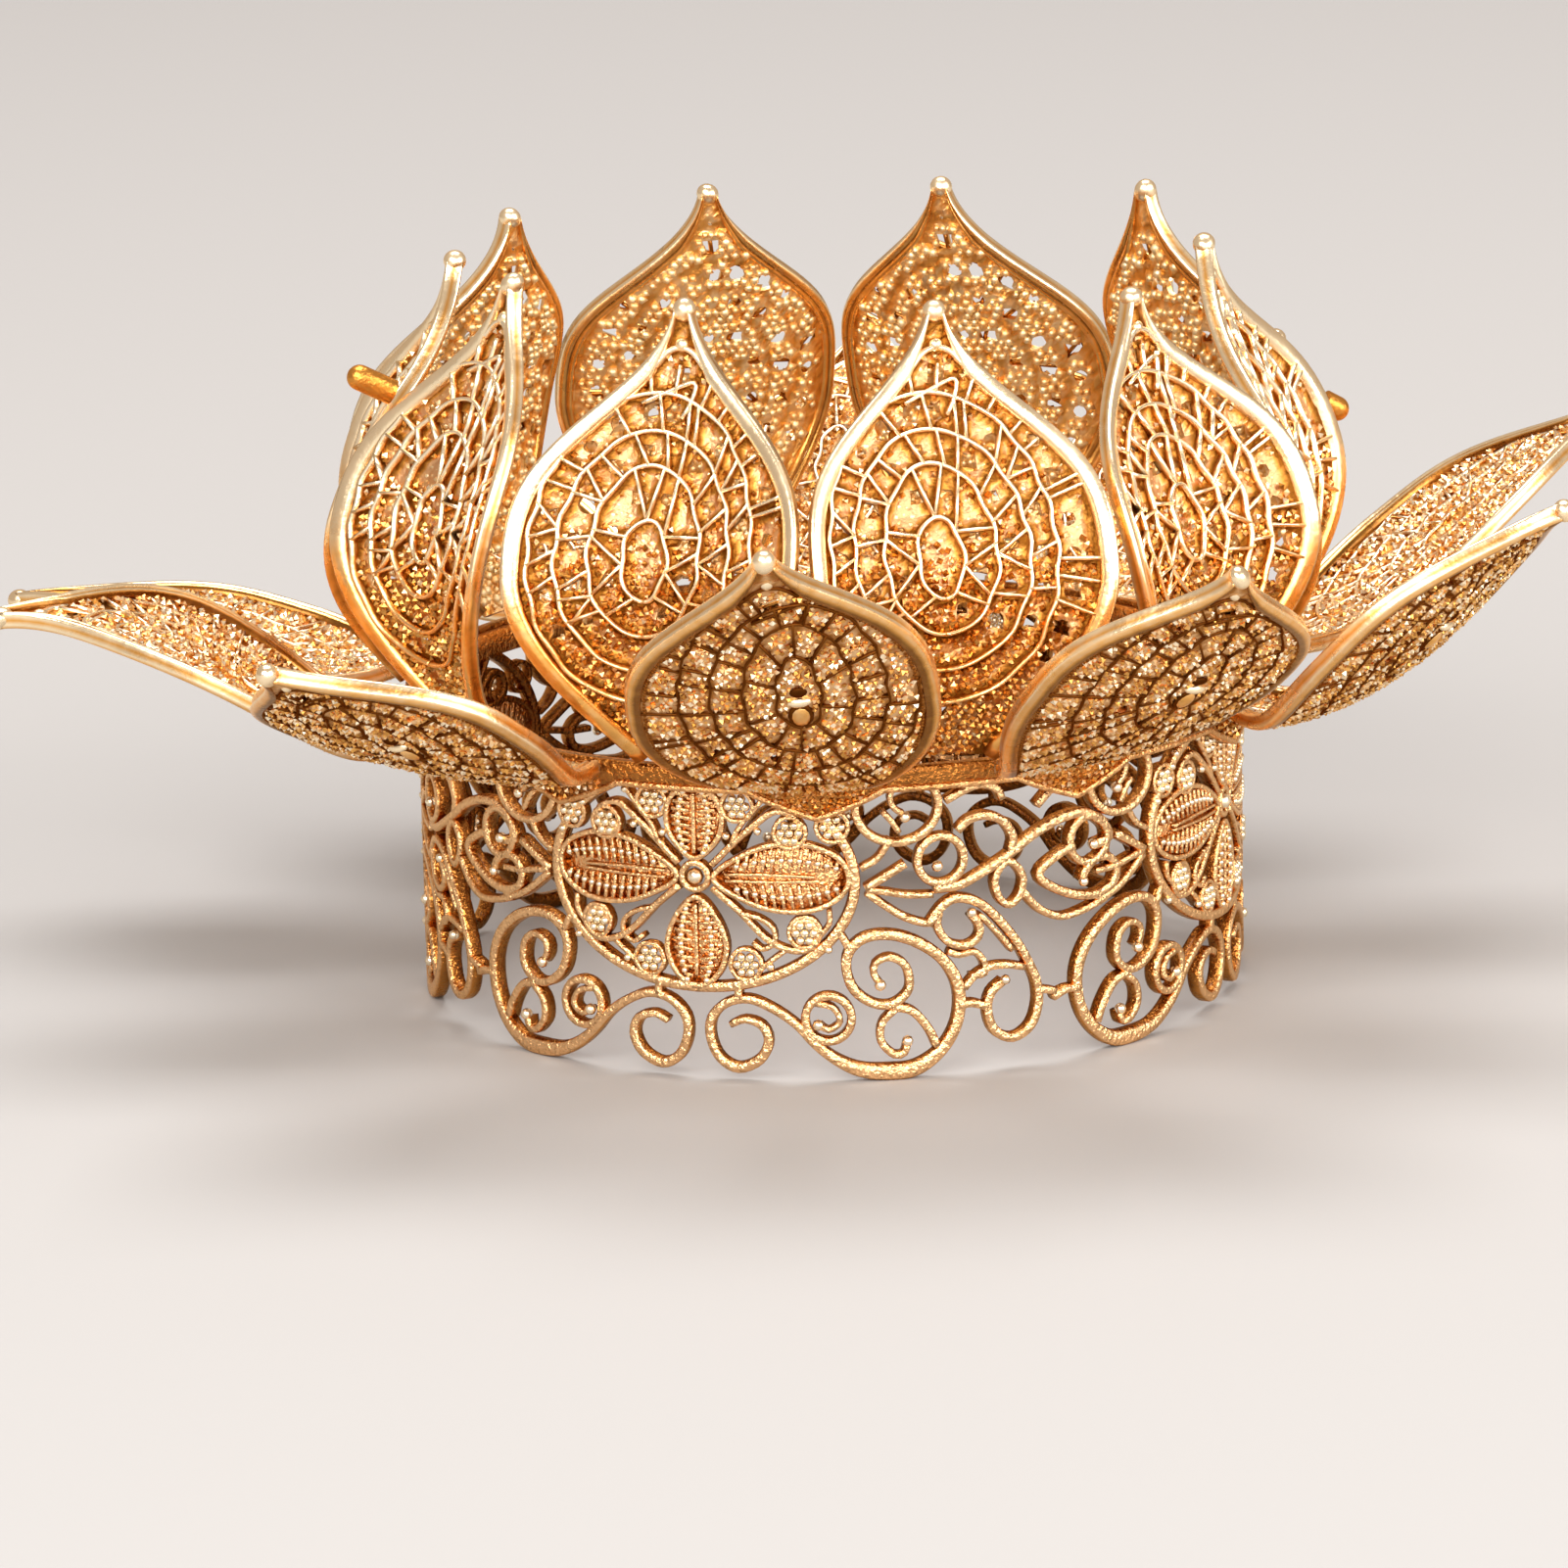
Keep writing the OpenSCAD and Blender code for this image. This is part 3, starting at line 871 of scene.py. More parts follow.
@dataclass
class Petals:
    """The two rings of petals."""

    inner_line: Row = (29.6, 22.7, 38.3, 34.6, 27.2, 40.9, 26.4, 53.2)
    # Columns: change of the tip's reach, of its height, sideways bend, turn about the seat, bulge, roll
    inner_bent: tuple[Row, ...] = (
        (-1, 0.1, 0.5, -1.5, 0, 0),
        (-0.2, -1, 0.8, 0, 0, 0),
        (0.1, -0.7, 3.2, -4.5, 0.9, 5),
        (0.4, 1.2, -1.7, 1.5, 0.9, -5),
        (-0.2, -0.3, 0.2, 0, 0, 0),
        (-0.4, -0.5, 1, -0.5, 0, 0),
        (0.3, -0.2, 1.7, -1.8, 0, 0),
        (-0.8, -0.7, -0.8, 0.8, -0.5, -3),
        (0.6, 1.3, 2.9, -3.3, -0.5, 3),
        (1, 0.9, 0.2, -1, 0, 0),
    )
    outer_base: tuple[float, float] = (30.4, 21.7)
    collar_r: float = 30.0
    gap: float = 0.1
    # Half of a rim's height at its foot
    thick: float = 0.6
    # Columns: turn of the seat, turn about it, roll, sideways bend, then reach and height of the low,
    # the high and the last control point
    outer_bent: tuple[Row, ...] = (
        (-1.2, -2.7, -11, 0.5, 40.5, 21.5, 47.1, 35.5, 57.7, 43.2),
        (-7.5, 9.3, 11, -4.6, 42.6, 23.5, 50.7, 34, 59.5, 40.6),
        (0.5, -13.8, 1, -1, 41.8, 18.8, 47.5, 34.8, 57.1, 38.3),
        (-0.4, -1.1, 8, 0, 42.5, 20.5, 49.5, 34.5, 59.8, 36.8),
        (0, 3, -4, 0, 39.5, 19, 48.5, 32.5, 57.8, 36.5),
        (0, -2, 3, 0.5, 39.5, 17.5, 47.5, 32, 57, 34.5),
        (0, 3, -5, 0, 39, 16.5, 48.5, 29, 60, 29),
        (0, 1, -8, -1.2, 39.3, 15.6, 51.6, 26.5, 63.9, 23.2),
        (0, -7, 8, 1, 36.2, 15.1, 44.8, 32.4, 60, 30.1),
        (1.4, -4.6, -14, 2.5, 44.2, 21.2, 49.7, 29.6, 61.9, 34.4),
    )

    def inner(self) -> list[Petal]:
        """The ten upright petals.

        Their good face looks outwards, and their fine wires stand high over bright open cells.

        Returns:
            The petals, each with its own bend.
        """
        middle = np.reshape(self.inner_line, (4, 2))
        family = Family(
            wide=21.2, peak=0.42, cup=-0.020, middle=middle, face=Face.OUT, aside=-1.1, level=15.0,
            arcs=np.array([[1.6, 2.7, 2.7], [3.95, 6.4, 5.0], [6.15, 8.7, 7.4], [7.9, 11.2, 9.8]]),
            plain_above=15.5, holes_kept=0.90, seed=11, wire_lift=0.14, wire_tall=0.70,
            front_level=0.08, back_pitch=0.70, back_sizes=(0.30, 0.56),
        )
        petals = []
        for i, (lean, rise, sway, yaw, bulge, roll) in enumerate(self.inner_bent):
            line = middle + np.array([[0, 0], [bulge, 0], [0.8 * lean, 0], [lean, rise]])
            name = f"inner_petal_{i + 1:02d}"
            petals.append(Petal(name, family, line, (i + 0.5) * STEP, roll, sway, yaw))
        return petals

    def outer(self) -> list[Petal]:
        """The ten flared petals.

        Their good face looks up, so that the grained back shows from below. Each seat stands off the
        collar by a gap, by the tilt of its foot and by how far a turned foot would swing into it.

        Returns:
            The petals, each with its own bend.
        """
        middle = np.array([[30.6, 21.7], [40.0, 19.5], [49.0, 33.0], [59.5, 36.0]])
        family = Family(
            wide=20.8, peak=0.46, cup=0.012, middle=middle, face=Face.UP, aside=1.2, level=17.2,
            arcs=np.array([[1.5, 5.0, 2.8], [3.7, 8.3, 5.8], [5.9, 10.3, 8.6], [8.0, 12.3, 11.4]]),
            plain_above=99.0, holes_kept=0.22, seed=23, wire_lift=0.04, wire_tall=0.36,
            front_level=0.20, back_pitch=0.48, back_sizes=(0.15, 0.29),
        )
        foot = float(family.half(np.zeros(1))[0])
        petals = []
        for i, (seat, yaw, roll, sway, *points) in enumerate(self.outer_bent):
            low, high, tip = np.reshape(points, (3, 2)).astype(float)
            rise = low - np.array(self.outer_base)
            tilt = abs(rise[1]) / np.linalg.norm(rise) * self.thick
            swing = foot * math.sin(abs(yaw) * DEG) - foot * foot / (2 * self.collar_r)
            base = self.collar_r + self.gap + tilt + max(0.0, swing)
            line = np.array([[base, self.outer_base[1]], low, high, tip])
            petals.append(Petal(f"outer_petal_{i + 1:02d}", family, line, i * STEP + seat, roll, sway, yaw))
        return petals


# Band and collar


def wrap(flat: Array, start: float, radius: float) -> Array:
    """Carry flat points onto a ring: u runs along it from the start azimuth, z is up and h outwards.

    Args:
        flat: rows of u, z and h.
        start: azimuth of u 0, in degrees.
        radius: radius of the ring's surface.

    Returns:
        Places in the crown's frame.
    """
    az = start * DEG + flat[:, 0] / radius
    r = radius + flat[:, 2]
    return np.stack([r * np.sin(az), -r * np.cos(az), flat[:, 1]], 1)


def hoop(path: Array, radius: float, width: float, lift: float, tall: float) -> Parts:
    """A rounded wire right round a ring, along flat points, its last section joined to its first."""
    points, _, _ = sweep(path, ROUND_FORM, width, lift, tall)
    return wrap(points, 0.0, radius), ring_quads(len(path), len(ROUND_FORM), True), NO_TRIS


@dataclass
class Band:
    """The pierced band: four medallions with scroll panels between them.

    Its flat layout has u along the ring from a medallion's middle, z upwards and h outwards. Each wire is
    a smooth line through its knots, and the wires of one side are repeated in mirror image.
    """

    azimuth: float = -16.9
    # Rows: width, then knots of u and z. These are mirrored about the medallion's middle.
    sided: tuple[tuple[float, tuple[Row, ...]], ...] = (
        # Diagonal stems with curls
        (0.5, ((1.2, 13.6), (3, 12.1), (4.9, 10.2), (6.4, 9.4), (7.8, 9.4), (8.5, 10.3), (7.9, 11.4),
            (6.9, 11.2), (6.9, 10.4))),
        (0.5, ((1.2, 15.2), (2.9, 16.9), (4.4, 18.2), (5.8, 19.1), (7.2, 18.6), (7.3, 17.4), (6.3, 16.9),
            (5.8, 17.6))),
        # Ring at the upper corner with its hook and stem
        (0.42, ((13.3, 21.3), (13.9, 20.7), (13.6, 19.9), (13.9, 19.1), (14.5, 18.7))),
        (0.42, ((13.1, 18.9), (13.7, 18.2), (14.2, 17.4))),
        (0.5, ((11.5, 15), (12.7, 15.7), (13.6, 17))),
        # Leaf loops beside the medallion
        (0.62, ((11.8, 13.6), (13.2, 14.4), (14.6, 15.2))),
        (0.5, ((11.9, 13.5), (13.2, 13.3), (14.7, 13), (16.5, 12.9))),
        (0.55, ((11.9, 13.3), (13.2, 12.3), (14.6, 11.4), (16.2, 10.9), (16.7, 11.5))),
        # Lower spiral of the large ring
        (0.62, ((13.5, 5.2), (14.9, 4.8), (16, 3.5), (16.6, 2.2))),
        (0.55, ((13.7, 5), (12.8, 4.1), (12.7, 2.8), (13.6, 1.8), (14.3, 1.9), (14.5, 2.6))),
        # Curl in the small ring
        (0.45, ((8.2, 5.6), (9.4, 5.3), (9.9, 4.3), (9.1, 3.7), (8.5, 4.1))),
        # Second curls beside the diagonal stems, and thin arcs under the side petals
        (0.38, ((3.2, 11.9), (4.4, 11.6), (5.4, 10.9), (5.5, 9.9), (4.7, 9.4), (4, 9.9))),
        (0.38, ((2.6, 16.6), (3.2, 17.9), (4.3, 19.2), (5.2, 20.3))),
        (0.38, ((6.2, 9.3), (5, 8.4), (4.4, 7.9))),
        (0.38, ((8.7, 10.4), (9.3, 11.2), (9.3, 12.2))),
        # Short ties that hold the scrolls to each other
        (0.6, ((18.1, 4.9), (19.2, 5), (20.3, 4.6))),
        (0.55, ((10.6, 9.4), (10.2, 10.2), (9.9, 10.6))),
        (0.6, ((2.9, 5.8), (2.9, 6.4), (2.8, 6.9))),
    )
    # Knots with a width for each: the long wire from the small scroll through the large ring
    long_wire: tuple[Row, ...] = (
        (2.3, 4, 0.5), (3.3, 4.4, 0.55), (4.5, 4, 0.65), (4.95, 2.9, 0.7), (4.3, 1.6, 0.75),
        (2.8, 0.95, 0.75), (1.5, 1.6, 0.7), (0.85, 3, 0.7), (0.95, 4.4, 0.7), (2, 5.5, 0.65),
        (3.6, 5.85, 0.65), (5.3, 5.2, 0.65), (6.9, 4.1, 0.65), (8.2, 2.7, 0.7), (9.6, 1.6, 0.8),
        (11.2, 0.85, 1), (13.1, 0.62, 1.15), (15.1, 0.77, 1.1), (16.9, 1.9, 0.9), (18, 3.6, 0.85),
        (18.3, 5.5, 0.85), (17.9, 7.1, 0.85), (16.8, 8.6, 0.8), (15, 9.8, 0.8), (13.2, 10.3, 0.75),
        (11.6, 10.1, 0.75), (10.6, 9.2, 0.75), (10.4, 8, 0.7), (10.9, 6.5, 0.7), (12.2, 5.5, 0.65),
        (13.6, 5.4, 0.65), (14.7, 6.4, 0.6), (14.5, 8, 0.6), (13.4, 8.7, 0.55), (12.4, 8.3, 0.5),
        (12.3, 7.5, 0.5), (12.7, 6.9, 0.5),
    )
    # Rows: middle u and z, half-width, half-height, wire width. Mirrored.
    rings: tuple[Row, ...] = (
        (14.1, 19.2, 2.9, 2.5, 0.6),
        (17.1, 15.3, 1.65, 1.65, 0.6),
        (9.1, 4.5, 1.6, 1.6, 0.6),
    )
    # Rows: width, closed, then knots. These stand once in each panel.
    single: tuple[tuple[float, bool, tuple[Row, ...]], ...] = (
        (0.68, False, ((16.1, 10.8), (17.2, 12.1), (18.3, 12.5), (19.8, 12), (21.2, 10.7), (22.6, 8.9),
            (23.5, 7.3), (24.1, 5.9), (24.2, 4.4), (23.6, 2.9), (22.2, 2.2), (20.8, 2.9), (20.3, 4.4),
            (20.6, 5.6), (21.5, 6.3))),
        (0.4, False, ((19.8, 11.2), (21, 9.9), (22.2, 8.4))),
        (0.58, False, ((16.9, 11.6), (16.8, 10.6), (17.5, 9.5), (18.8, 9.1), (19.7, 9.6), (19.8, 10.4),
            (19.2, 11.3))),
        (0.5, False, ((17.5, 8.8), (18.3, 8.5), (19.4, 8.6), (20.1, 7.8), (20.1, 7), (19.1, 6.9))),
        (0.55, False, ((18.6, 6.1), (19.4, 6.9), (20.5, 7.4), (21.8, 7.4), (23.1, 7.1))),
        (0.55, False, ((24.3, 5.3), (24.9, 5.2), (25.6, 5))),
        (0.72, False, ((16.6, 13.3), (18.3, 13.4), (19.8, 14), (22, 15.1), (24, 16.3), (26.2, 17.1),
            (28.2, 17.2), (29.9, 16.2), (30.4, 15.1), (29.2, 14.8))),
        (0.66, False, ((18.3, 17.2), (19.1, 17.9), (20.3, 18.1), (21.6, 17.6), (22.4, 16.4), (22.2, 15.3))),
        (0.6, False, ((17.5, 19.4), (19.1, 20.1), (20.2, 20.3), (21.3, 19.8), (21.6, 19.1))),
        (0.55, True, ((22, 14.7), (21, 13.6), (21.3, 12.2), (22.1, 11.6), (22.9, 12.3), (23.1, 13.6))),
        (0.66, False, ((27.3, 15), (26.2, 14.7), (24.6, 13.8), (24.5, 13.1), (25.8, 12.2), (27.5, 11.5),
            (29.2, 11.3), (30.7, 11.8), (31.1, 12.8), (30.4, 13.7), (29.2, 13.8), (28.2, 13.1), (28, 12.5))),
        (0.6, False, ((24.3, 18.3), (25.6, 19.4), (27, 20.2), (28.4, 19.9))),
        (0.55, False, ((23.1, 12.4), (24.4, 11), (26.2, 10.2), (28.2, 10.4), (30, 10.9))),
    )
    # Closed outlines of the medallion's petals: the side ones mirrored, the others once
    side_petal: tuple[Row, ...] = (
        (1.3, 14.3), (3.7, 12.7), (6, 12.1), (8.3, 12.2), (10.1, 13.1), (10.7, 14.4), (10, 15.8),
        (8.1, 16.7), (6, 16.8), (3.7, 16.1),
    )
    low_petal: tuple[Row, ...] = (
        (0, 12.9), (-1.5, 11.4), (-2.15, 9.4), (-1.5, 7.5), (0, 6.6), (1.5, 7.5), (2.15, 9.4), (1.5, 11.4),
    )
    high_petal: tuple[Row, ...] = (
        (0, 15.6), (1.7, 17.1), (2, 18.9), (1.3, 20.2), (0, 20.7), (-1.3, 20.2), (-2, 18.9), (-1.7, 17.1),
    )
    # Middles of the rosettes, and places of the small balls by their radius
    rosettes: tuple[Row, ...] = ((6.7, 17.6), (7.6, 10.6), (3.5, 8.3), (3.1, 19.4), (9.6, 18.0))
    side_balls: tuple[tuple[float, tuple[Row, ...]], ...] = (
        (0.42, ((14.6, 18.5), (14.5, 2.75), (12.7, 6.8), (8.4, 4.1), (16.8, 14.9))),
        (0.30, ((5.1, 20.1), (8.6, 18.8), (8.1, 19.6), (2.0, 20.3), (4.5, 17.7), (10.4, 16.7), (2.3, 17.3),
            (9.2, 9.4), (5.2, 8.2))),
    )
    panel_balls: tuple[Row, ...] = ((21.6, 6.4), (28.9, 14.9), (28.0, 12.4), (19.2, 11.4))
    rib_pitch: float = 0.62
    # The mesh that is being laid out
    out: Buffer = field(init=False)

    def wire(
        self, knots: tuple[Row, ...] | Array, width: float | Array, closed: bool = False, tall: float = 1.0
    ) -> None:
        """Add one wire whose outer face is level with the band's.

        Args:
            knots: rows of u and z.
            width: width of the wire, for all knots or one for each.
            closed: True where it runs back into its start.
            tall: its height off the band's middle surface.
        """
        path = spline(raised(np.array(knots, float), width), closed, 0.42)
        parts = sweep(path[:, :2], ROUND_FORM, path[:, 2], -0.5 * tall, tall, closed)
        # Painted shade on the wire's inner face and painted highlight on its outer face.
        self.out.add(parts, Skin.RIM, np.tile([0.05, 0.1, 0.45, 1, 1, 0.45, 0.1, 0.05], len(path)))

    def rib(self, knots: tuple[Row, ...]) -> None:
        """Add one short rib of a medallion petal."""
        self.wire(knots, 0.26, False, 0.8)

    def petal(self, outline: tuple[Row, ...]) -> None:
        """Add a medallion petal: a wire round a thin plate whose middle is raised a little.

        Each ring of the plate's points is the outline drawn towards its middle by an even share.

        Args:
            outline: knots of the closed outline.
        """
        self.wire(outline, 0.42, True)
        level, thick = -0.45, 0.35
        path = spline(np.array(outline, float), True, 0.6)
        mid = path.mean(0)
        n = len(path)
        rows = [raised(mid + (path - mid) * q, level + 0.12 * (1 - q)) for q in (1.0, 0.66, 0.33)]
        top = np.concatenate(rows + [[[mid[0], mid[1], level + 0.16]]])
        total = len(top)
        k = np.arange(n)
        k2 = (k + 1) % n
        quads = np.roll(ring_quads(3, n, False)[:, ::-1], 1, 1)
        tris = np.stack([2 * n + k, 2 * n + k2, np.full(n, 3 * n)], 1)
        wall = np.stack([k2, k, k + total, k2 + total], 1)
        quads = np.concatenate([quads, quads[:, ::-1] + total, wall])
        tris = np.concatenate([tris, tris[:, ::-1] + total])
        ahead = np.roll(path, -1, 0)
        side = 1 if np.sum(path[:, 0] * ahead[:, 1] - ahead[:, 0] * path[:, 1]) > 0 else -1
        points = np.concatenate([top, top - [0, 0, thick]])
        self.out.add((points, quads[:, ::side], tris[:, ::side]), Skin.RIM, 0.80)

    def dots(self, places: tuple[Row, ...] | Array, radius: float, level: float = -0.1) -> None:
        """Add small balls at flat places."""
        self.out.add(beads(raised(np.array(places, float), level), radius, 3, 8), Skin.WIRE, 1.0)

    def rosette(self, u: float, z: float) -> None:
        """Add a ball with six more round it, in a ring.

        Args:
            u: place of its middle along the band.
            z: height of its middle.
        """
        turn = np.arange(6) * np.pi / 3
        self.dots(np.concatenate([[[u, z]], oval(u, z, 0.62, 0.62, turn)]), 0.33)
        self.wire(oval(u, z, 1.12, 1.12, turn), 0.32, True, 0.8)

    def ribs(self) -> None:
        """Ribs of the medallion petals, each with a small ball, their lengths following the outline.

        A rib's length is a small part plus a power of a sine of its place along the petal.
        """
        mid = 14.4
        for u in np.arange(2.9, 10.0, self.rib_pitch):
            swell = 0.35 + 1.75 * math.sin(min(1.0, (u - 1.9) / 8.6) * math.pi) ** 0.6
            for way in (1, -1):
                self.rib(((u, mid + way * 0.45), (u + 0.25, mid + way * swell)))
            self.dots(((u + 0.1, mid + 0.62 * swell), (u + 0.1, mid - 0.62 * swell)), 0.25, -0.08)
        for step in np.arange(0.0, 5.2, self.rib_pitch):
            reach = 0.35 + 1.25 * math.sin(min(1.0, (step + 0.6) / 6.2) * math.pi) ** 0.7
            for z in (12.3 - step, 16.3 + 0.85 * step):
                self.rib(((0.3, z), (reach, z + 0.12)))
                self.dots(((0.6 * reach + 0.15, z - 0.25),), 0.24, -0.08)

    def flat_side(self) -> Buffer:
        """Lay out everything that is repeated on both sides of a medallion's middle.

        Returns:
            Its joined flat mesh.
        """
        self.out = Buffer()
        for width, knots in self.sided:
            self.wire(knots, width)
        long_wire = np.array(self.long_wire)
        self.wire(long_wire[:, :2], long_wire[:, 2])
        turn = np.linspace(0, 2 * np.pi, 16, endpoint=False)
        for *place, width in self.rings:
            self.wire(oval(*place, turn), width, True)
        self.wire(oval(0, 14.1, 11.1, 7.55, np.linspace(-np.pi / 2, np.pi / 2, 17)), 0.75)
        self.petal(self.side_petal)
        for vein in (((2.2, 14.6), (5.0, 14.65), (8.4, 14.5)), ((2.2, 14.15), (5.0, 14.15), (8.4, 14.2))):
            self.wire(vein, 0.22, False, 0.9)
        self.ribs()
        for middle in self.rosettes:
            self.rosette(*middle)
        for radius, places in self.side_balls:
            self.dots(places, radius)
        return self.out.joined()

    def flat_panel(self) -> Buffer:
        """Lay out everything that stands once in each quarter.

        Returns:
            Its joined flat mesh.
        """
        self.out = Buffer()
        for width, closed, knots in self.single:
            self.wire(knots, width, closed)
        self.petal(self.low_petal)
        self.petal(self.high_petal)
        for vein in (((0, 12.4), (0, 10.0), (0, 7.4)), ((0, 16.0), (0, 18.0), (0, 20.2))):
            self.wire(vein, 0.3, False, 0.9)
        self.wire(oval(0, 14.35, 0.95, 0.95, np.linspace(0, 2 * np.pi, 12, endpoint=False)), 0.45, True)
        self.dots(((0.0, 14.35),), 0.62, -0.25)
        self.dots(self.panel_balls, 0.38)
        return self.out.joined()

    def build(self, materials: list[bpy.types.Material]) -> None:
        """Make the band's mesh and let it stand for its CAD node.

        Args:
            materials: the materials of its rims, wires and web.
        """
        out = Buffer()
        side, panel = self.flat_side(), self.flat_panel()
        for quarter in range(4):
            start = self.azimuth + 90 * quarter
            out.append(side, wrap(side.points[0], start, BAND_R))
            out.append(side, wrap(side.points[0] * [-1, 1, 1], start, BAND_R), mirrored=True)
            out.append(panel, wrap(panel.points[0], start, BAND_R))
        turn = np.linspace(0, 2 * np.pi * BAND_R, 180, endpoint=False)
        out.add(hoop(raised(turn, 21.1), BAND_R, 1.8, -0.5, 1.0), Skin.RIM, 0.5)
        piece = out.build("band_filigree", materials)
        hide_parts("band")
        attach(piece, "root")


@dataclass
class Collar:
    """The ribbon round the band's top with a grained, pointed tail under each outer petal."""

    radius: float = 29.6
    wall: float = 0.8
    top: float = 22.2
    valley: float = 20.5
    tail: float = 18.6
    tail_wide: float = 9.0
    # Points of the ribbon round the ring and up each face
    around: int = 400
    up: int = 7
    # The mesh that is being laid out
    out: Buffer = field(init=False)

    def lower_edge(self, u: Array) -> Array:
        """Height of the lower edge at distance u from a tail's middle: an eased fall to a blunt point."""
        near = np.clip(1 - np.abs(u) / (self.tail_wide / 2), 0, 1)
        return self.valley - (self.valley - self.tail) * near**0.8

    def add_ribbon(self) -> None:
        """The ribbon and a wire along its lower edge; a sine of the height bows its outer face."""
        pitch = 2 * np.pi * self.radius / PETALS
        u = np.arange(self.around) / self.around * (2 * np.pi * self.radius)
        low = self.lower_edge((u + pitch / 2) % pitch - pitch / 2)
        share = np.linspace(0, 1, self.up)
        z = low[:, None] + (self.top - low)[:, None] * share[None]
        swell = 0.10 * np.sin(np.pi * share)[None]
        faces = [self.wall / 2 - 0.1 + swell, np.array(-self.wall / 2)]
        outer, inner = (np.stack(np.broadcast_arrays(u[:, None], z, face), -1) for face in faces)
        loop = np.concatenate([outer, inner[:, ::-1]], 1).reshape(-1, 3)
        quads = ring_quads(self.around, 2 * self.up, True)
        # Painted shade: the ribbon is dark as it lies in the shadow of the outer petals, and darker still on
        # its inner face.
        shade = np.tile(np.repeat([0.24, 0.12], self.up), self.around)
        self.out.add((wrap(loop, 0.0, self.radius), quads, NO_TRIS), Skin.RIM, shade)
        self.out.add(hoop(raised(u, low + 0.22), self.radius, 0.42, 0.30, 0.5), Skin.RIM, 0.7)

    def add_grains(self) -> None:
        """Cut grains in rows on every tail, with small chance shifts."""
        rng = np.random.default_rng(41)
        half, margin = 3.2, 0.45
        u, z = np.meshgrid(np.arange(-half, 3.3, 0.52), np.arange(19.2, 21.9, 0.46), indexing="ij")
        spot = np.stack([u.ravel(), z.ravel()], 1) + rng.uniform(-0.08, 0.08, (u.size, 2))
        spot = spot[(spot[:, 1] > self.lower_edge(spot[:, 0]) + margin) & (np.abs(spot[:, 0]) < half)]
        pitch = 2 * np.pi * self.radius / PETALS
        flat = raised(np.concatenate([spot + [tail * pitch, 0] for tail in range(PETALS)]), 0.42)
        points, quads, tris = grains(flat, rng.uniform(0.20, 0.27, len(flat)), 43)
        shade = np.repeat(rng.uniform(0.1, 0.9, len(flat)), 6)
        self.out.add((wrap(points, 0.0, self.radius), quads, tris), Skin.WIRE, shade, flat=True)

    def build(self, materials: list[bpy.types.Material]) -> None:
        """Make the collar's mesh and let it stand for its CAD node.

        Args:
            materials: the materials of its ribbon, grains and web.
        """
        self.out = Buffer()
        self.add_ribbon()
        self.add_grains()
        piece = self.out.build("collar_ribbon", materials)
        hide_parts("petal_collar")
        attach(piece, "root")


# Finishes


Colour = tuple[float, float, float]


@dataclass(frozen=True)
class Gold:
    """A gilt finish whose colour runs from painted shade in its hollows to painted highlights on its edges.

    Rough holds the two limits of its roughness, grain is the scale of its bump, glance the colour of its
    reflection at a low angle, and spread the most that noise adds to the shade.
    """

    name: str
    hollow: Colour
    body: Colour
    edge: Colour
    rough: tuple[float, float]
    grain: float
    bump: float
    coat: float
    glance: Colour = (1.0, 0.80, 0.55)
    spread: float = 0.22

    def material(self) -> bpy.types.Material:
        """Make the node material.

        The shade attribute, moved a little by a soft noise, picks the colour on a ramp. A second noise
        sets the roughness between its two limits, and a fine one is the bump.

        Returns:
            The new material.
        """
        made = bpy.data.materials.new(self.name)
        made.use_nodes = True
        nodes = made.node_tree.nodes

        def node(kind: str, **numbers: float) -> bpy.types.Node:
            """Add a node.

            Args:
                kind: its type, without the first word.
                numbers: values of its sockets, by their names with _ for a space.

            Returns:
                The new node.
            """
            new = nodes.new("ShaderNode" + kind)
            for socket, number in numbers.items():
                new.inputs[socket.replace("_", " ")].default_value = number
            return new

        shader = nodes["Principled BSDF"]
        shader.inputs["Metallic"].default_value = 1.0
        shader.inputs["Specular Tint"].default_value = (*self.glance, 1)
        shader.inputs["Coat Weight"].default_value = self.coat
        shader.inputs["Coat Roughness"].default_value = 0.12
        where, shade, total, ramp = node("TexCoord"), node("Attribute"), node("Math"), node("ValToRGB")
        shade.attribute_name = "shade"
        total.operation = "ADD"
        stops = ramp.color_ramp.elements
        stops.new(0.5)
        # The stops: painted shade in hollows, the body colour, and painted highlight on edges.
        for stop, place, colour in zip(stops, (0.05, 0.5, 0.95), (self.hollow, self.body, self.edge)):
            stop.position = place
            stop.color = (*colour, 1)
        tone = node("TexNoise", Scale=900.0, Detail=3.0)
        moved = node("MapRange", To_Min=-self.spread, To_Max=self.spread)
        wear = node("TexNoise", Scale=260.0, Detail=4.0)
        dull = node("MapRange", From_Min=0.3, From_Max=0.7, To_Min=self.rough[0], To_Max=self.rough[1])
        fine = node("TexNoise", Scale=self.grain, Detail=2.0)
        bump = node("Bump", Strength=self.bump, Distance=0.0002)
        for source, outlet, target, inlet in (
            (where, "Object", tone, "Vector"),
            (where, "Object", wear, "Vector"),
            (where, "Object", fine, "Vector"),
            (tone, "Fac", moved, "Value"),
            (shade, "Fac", total, 0),
            (moved, "Result", total, 1),
            (total, "Value", ramp, "Fac"),
            (ramp, "Color", shader, "Base Color"),
            (wear, "Fac", dull, "Value"),
            (dull, "Result", shader, "Roughness"),
            (fine, "Fac", bump, "Height"),
            (bump, "Normal", shader, "Normal"),
        ):
            made.node_tree.links.new(source.outputs[outlet], target.inputs[inlet])
        return made


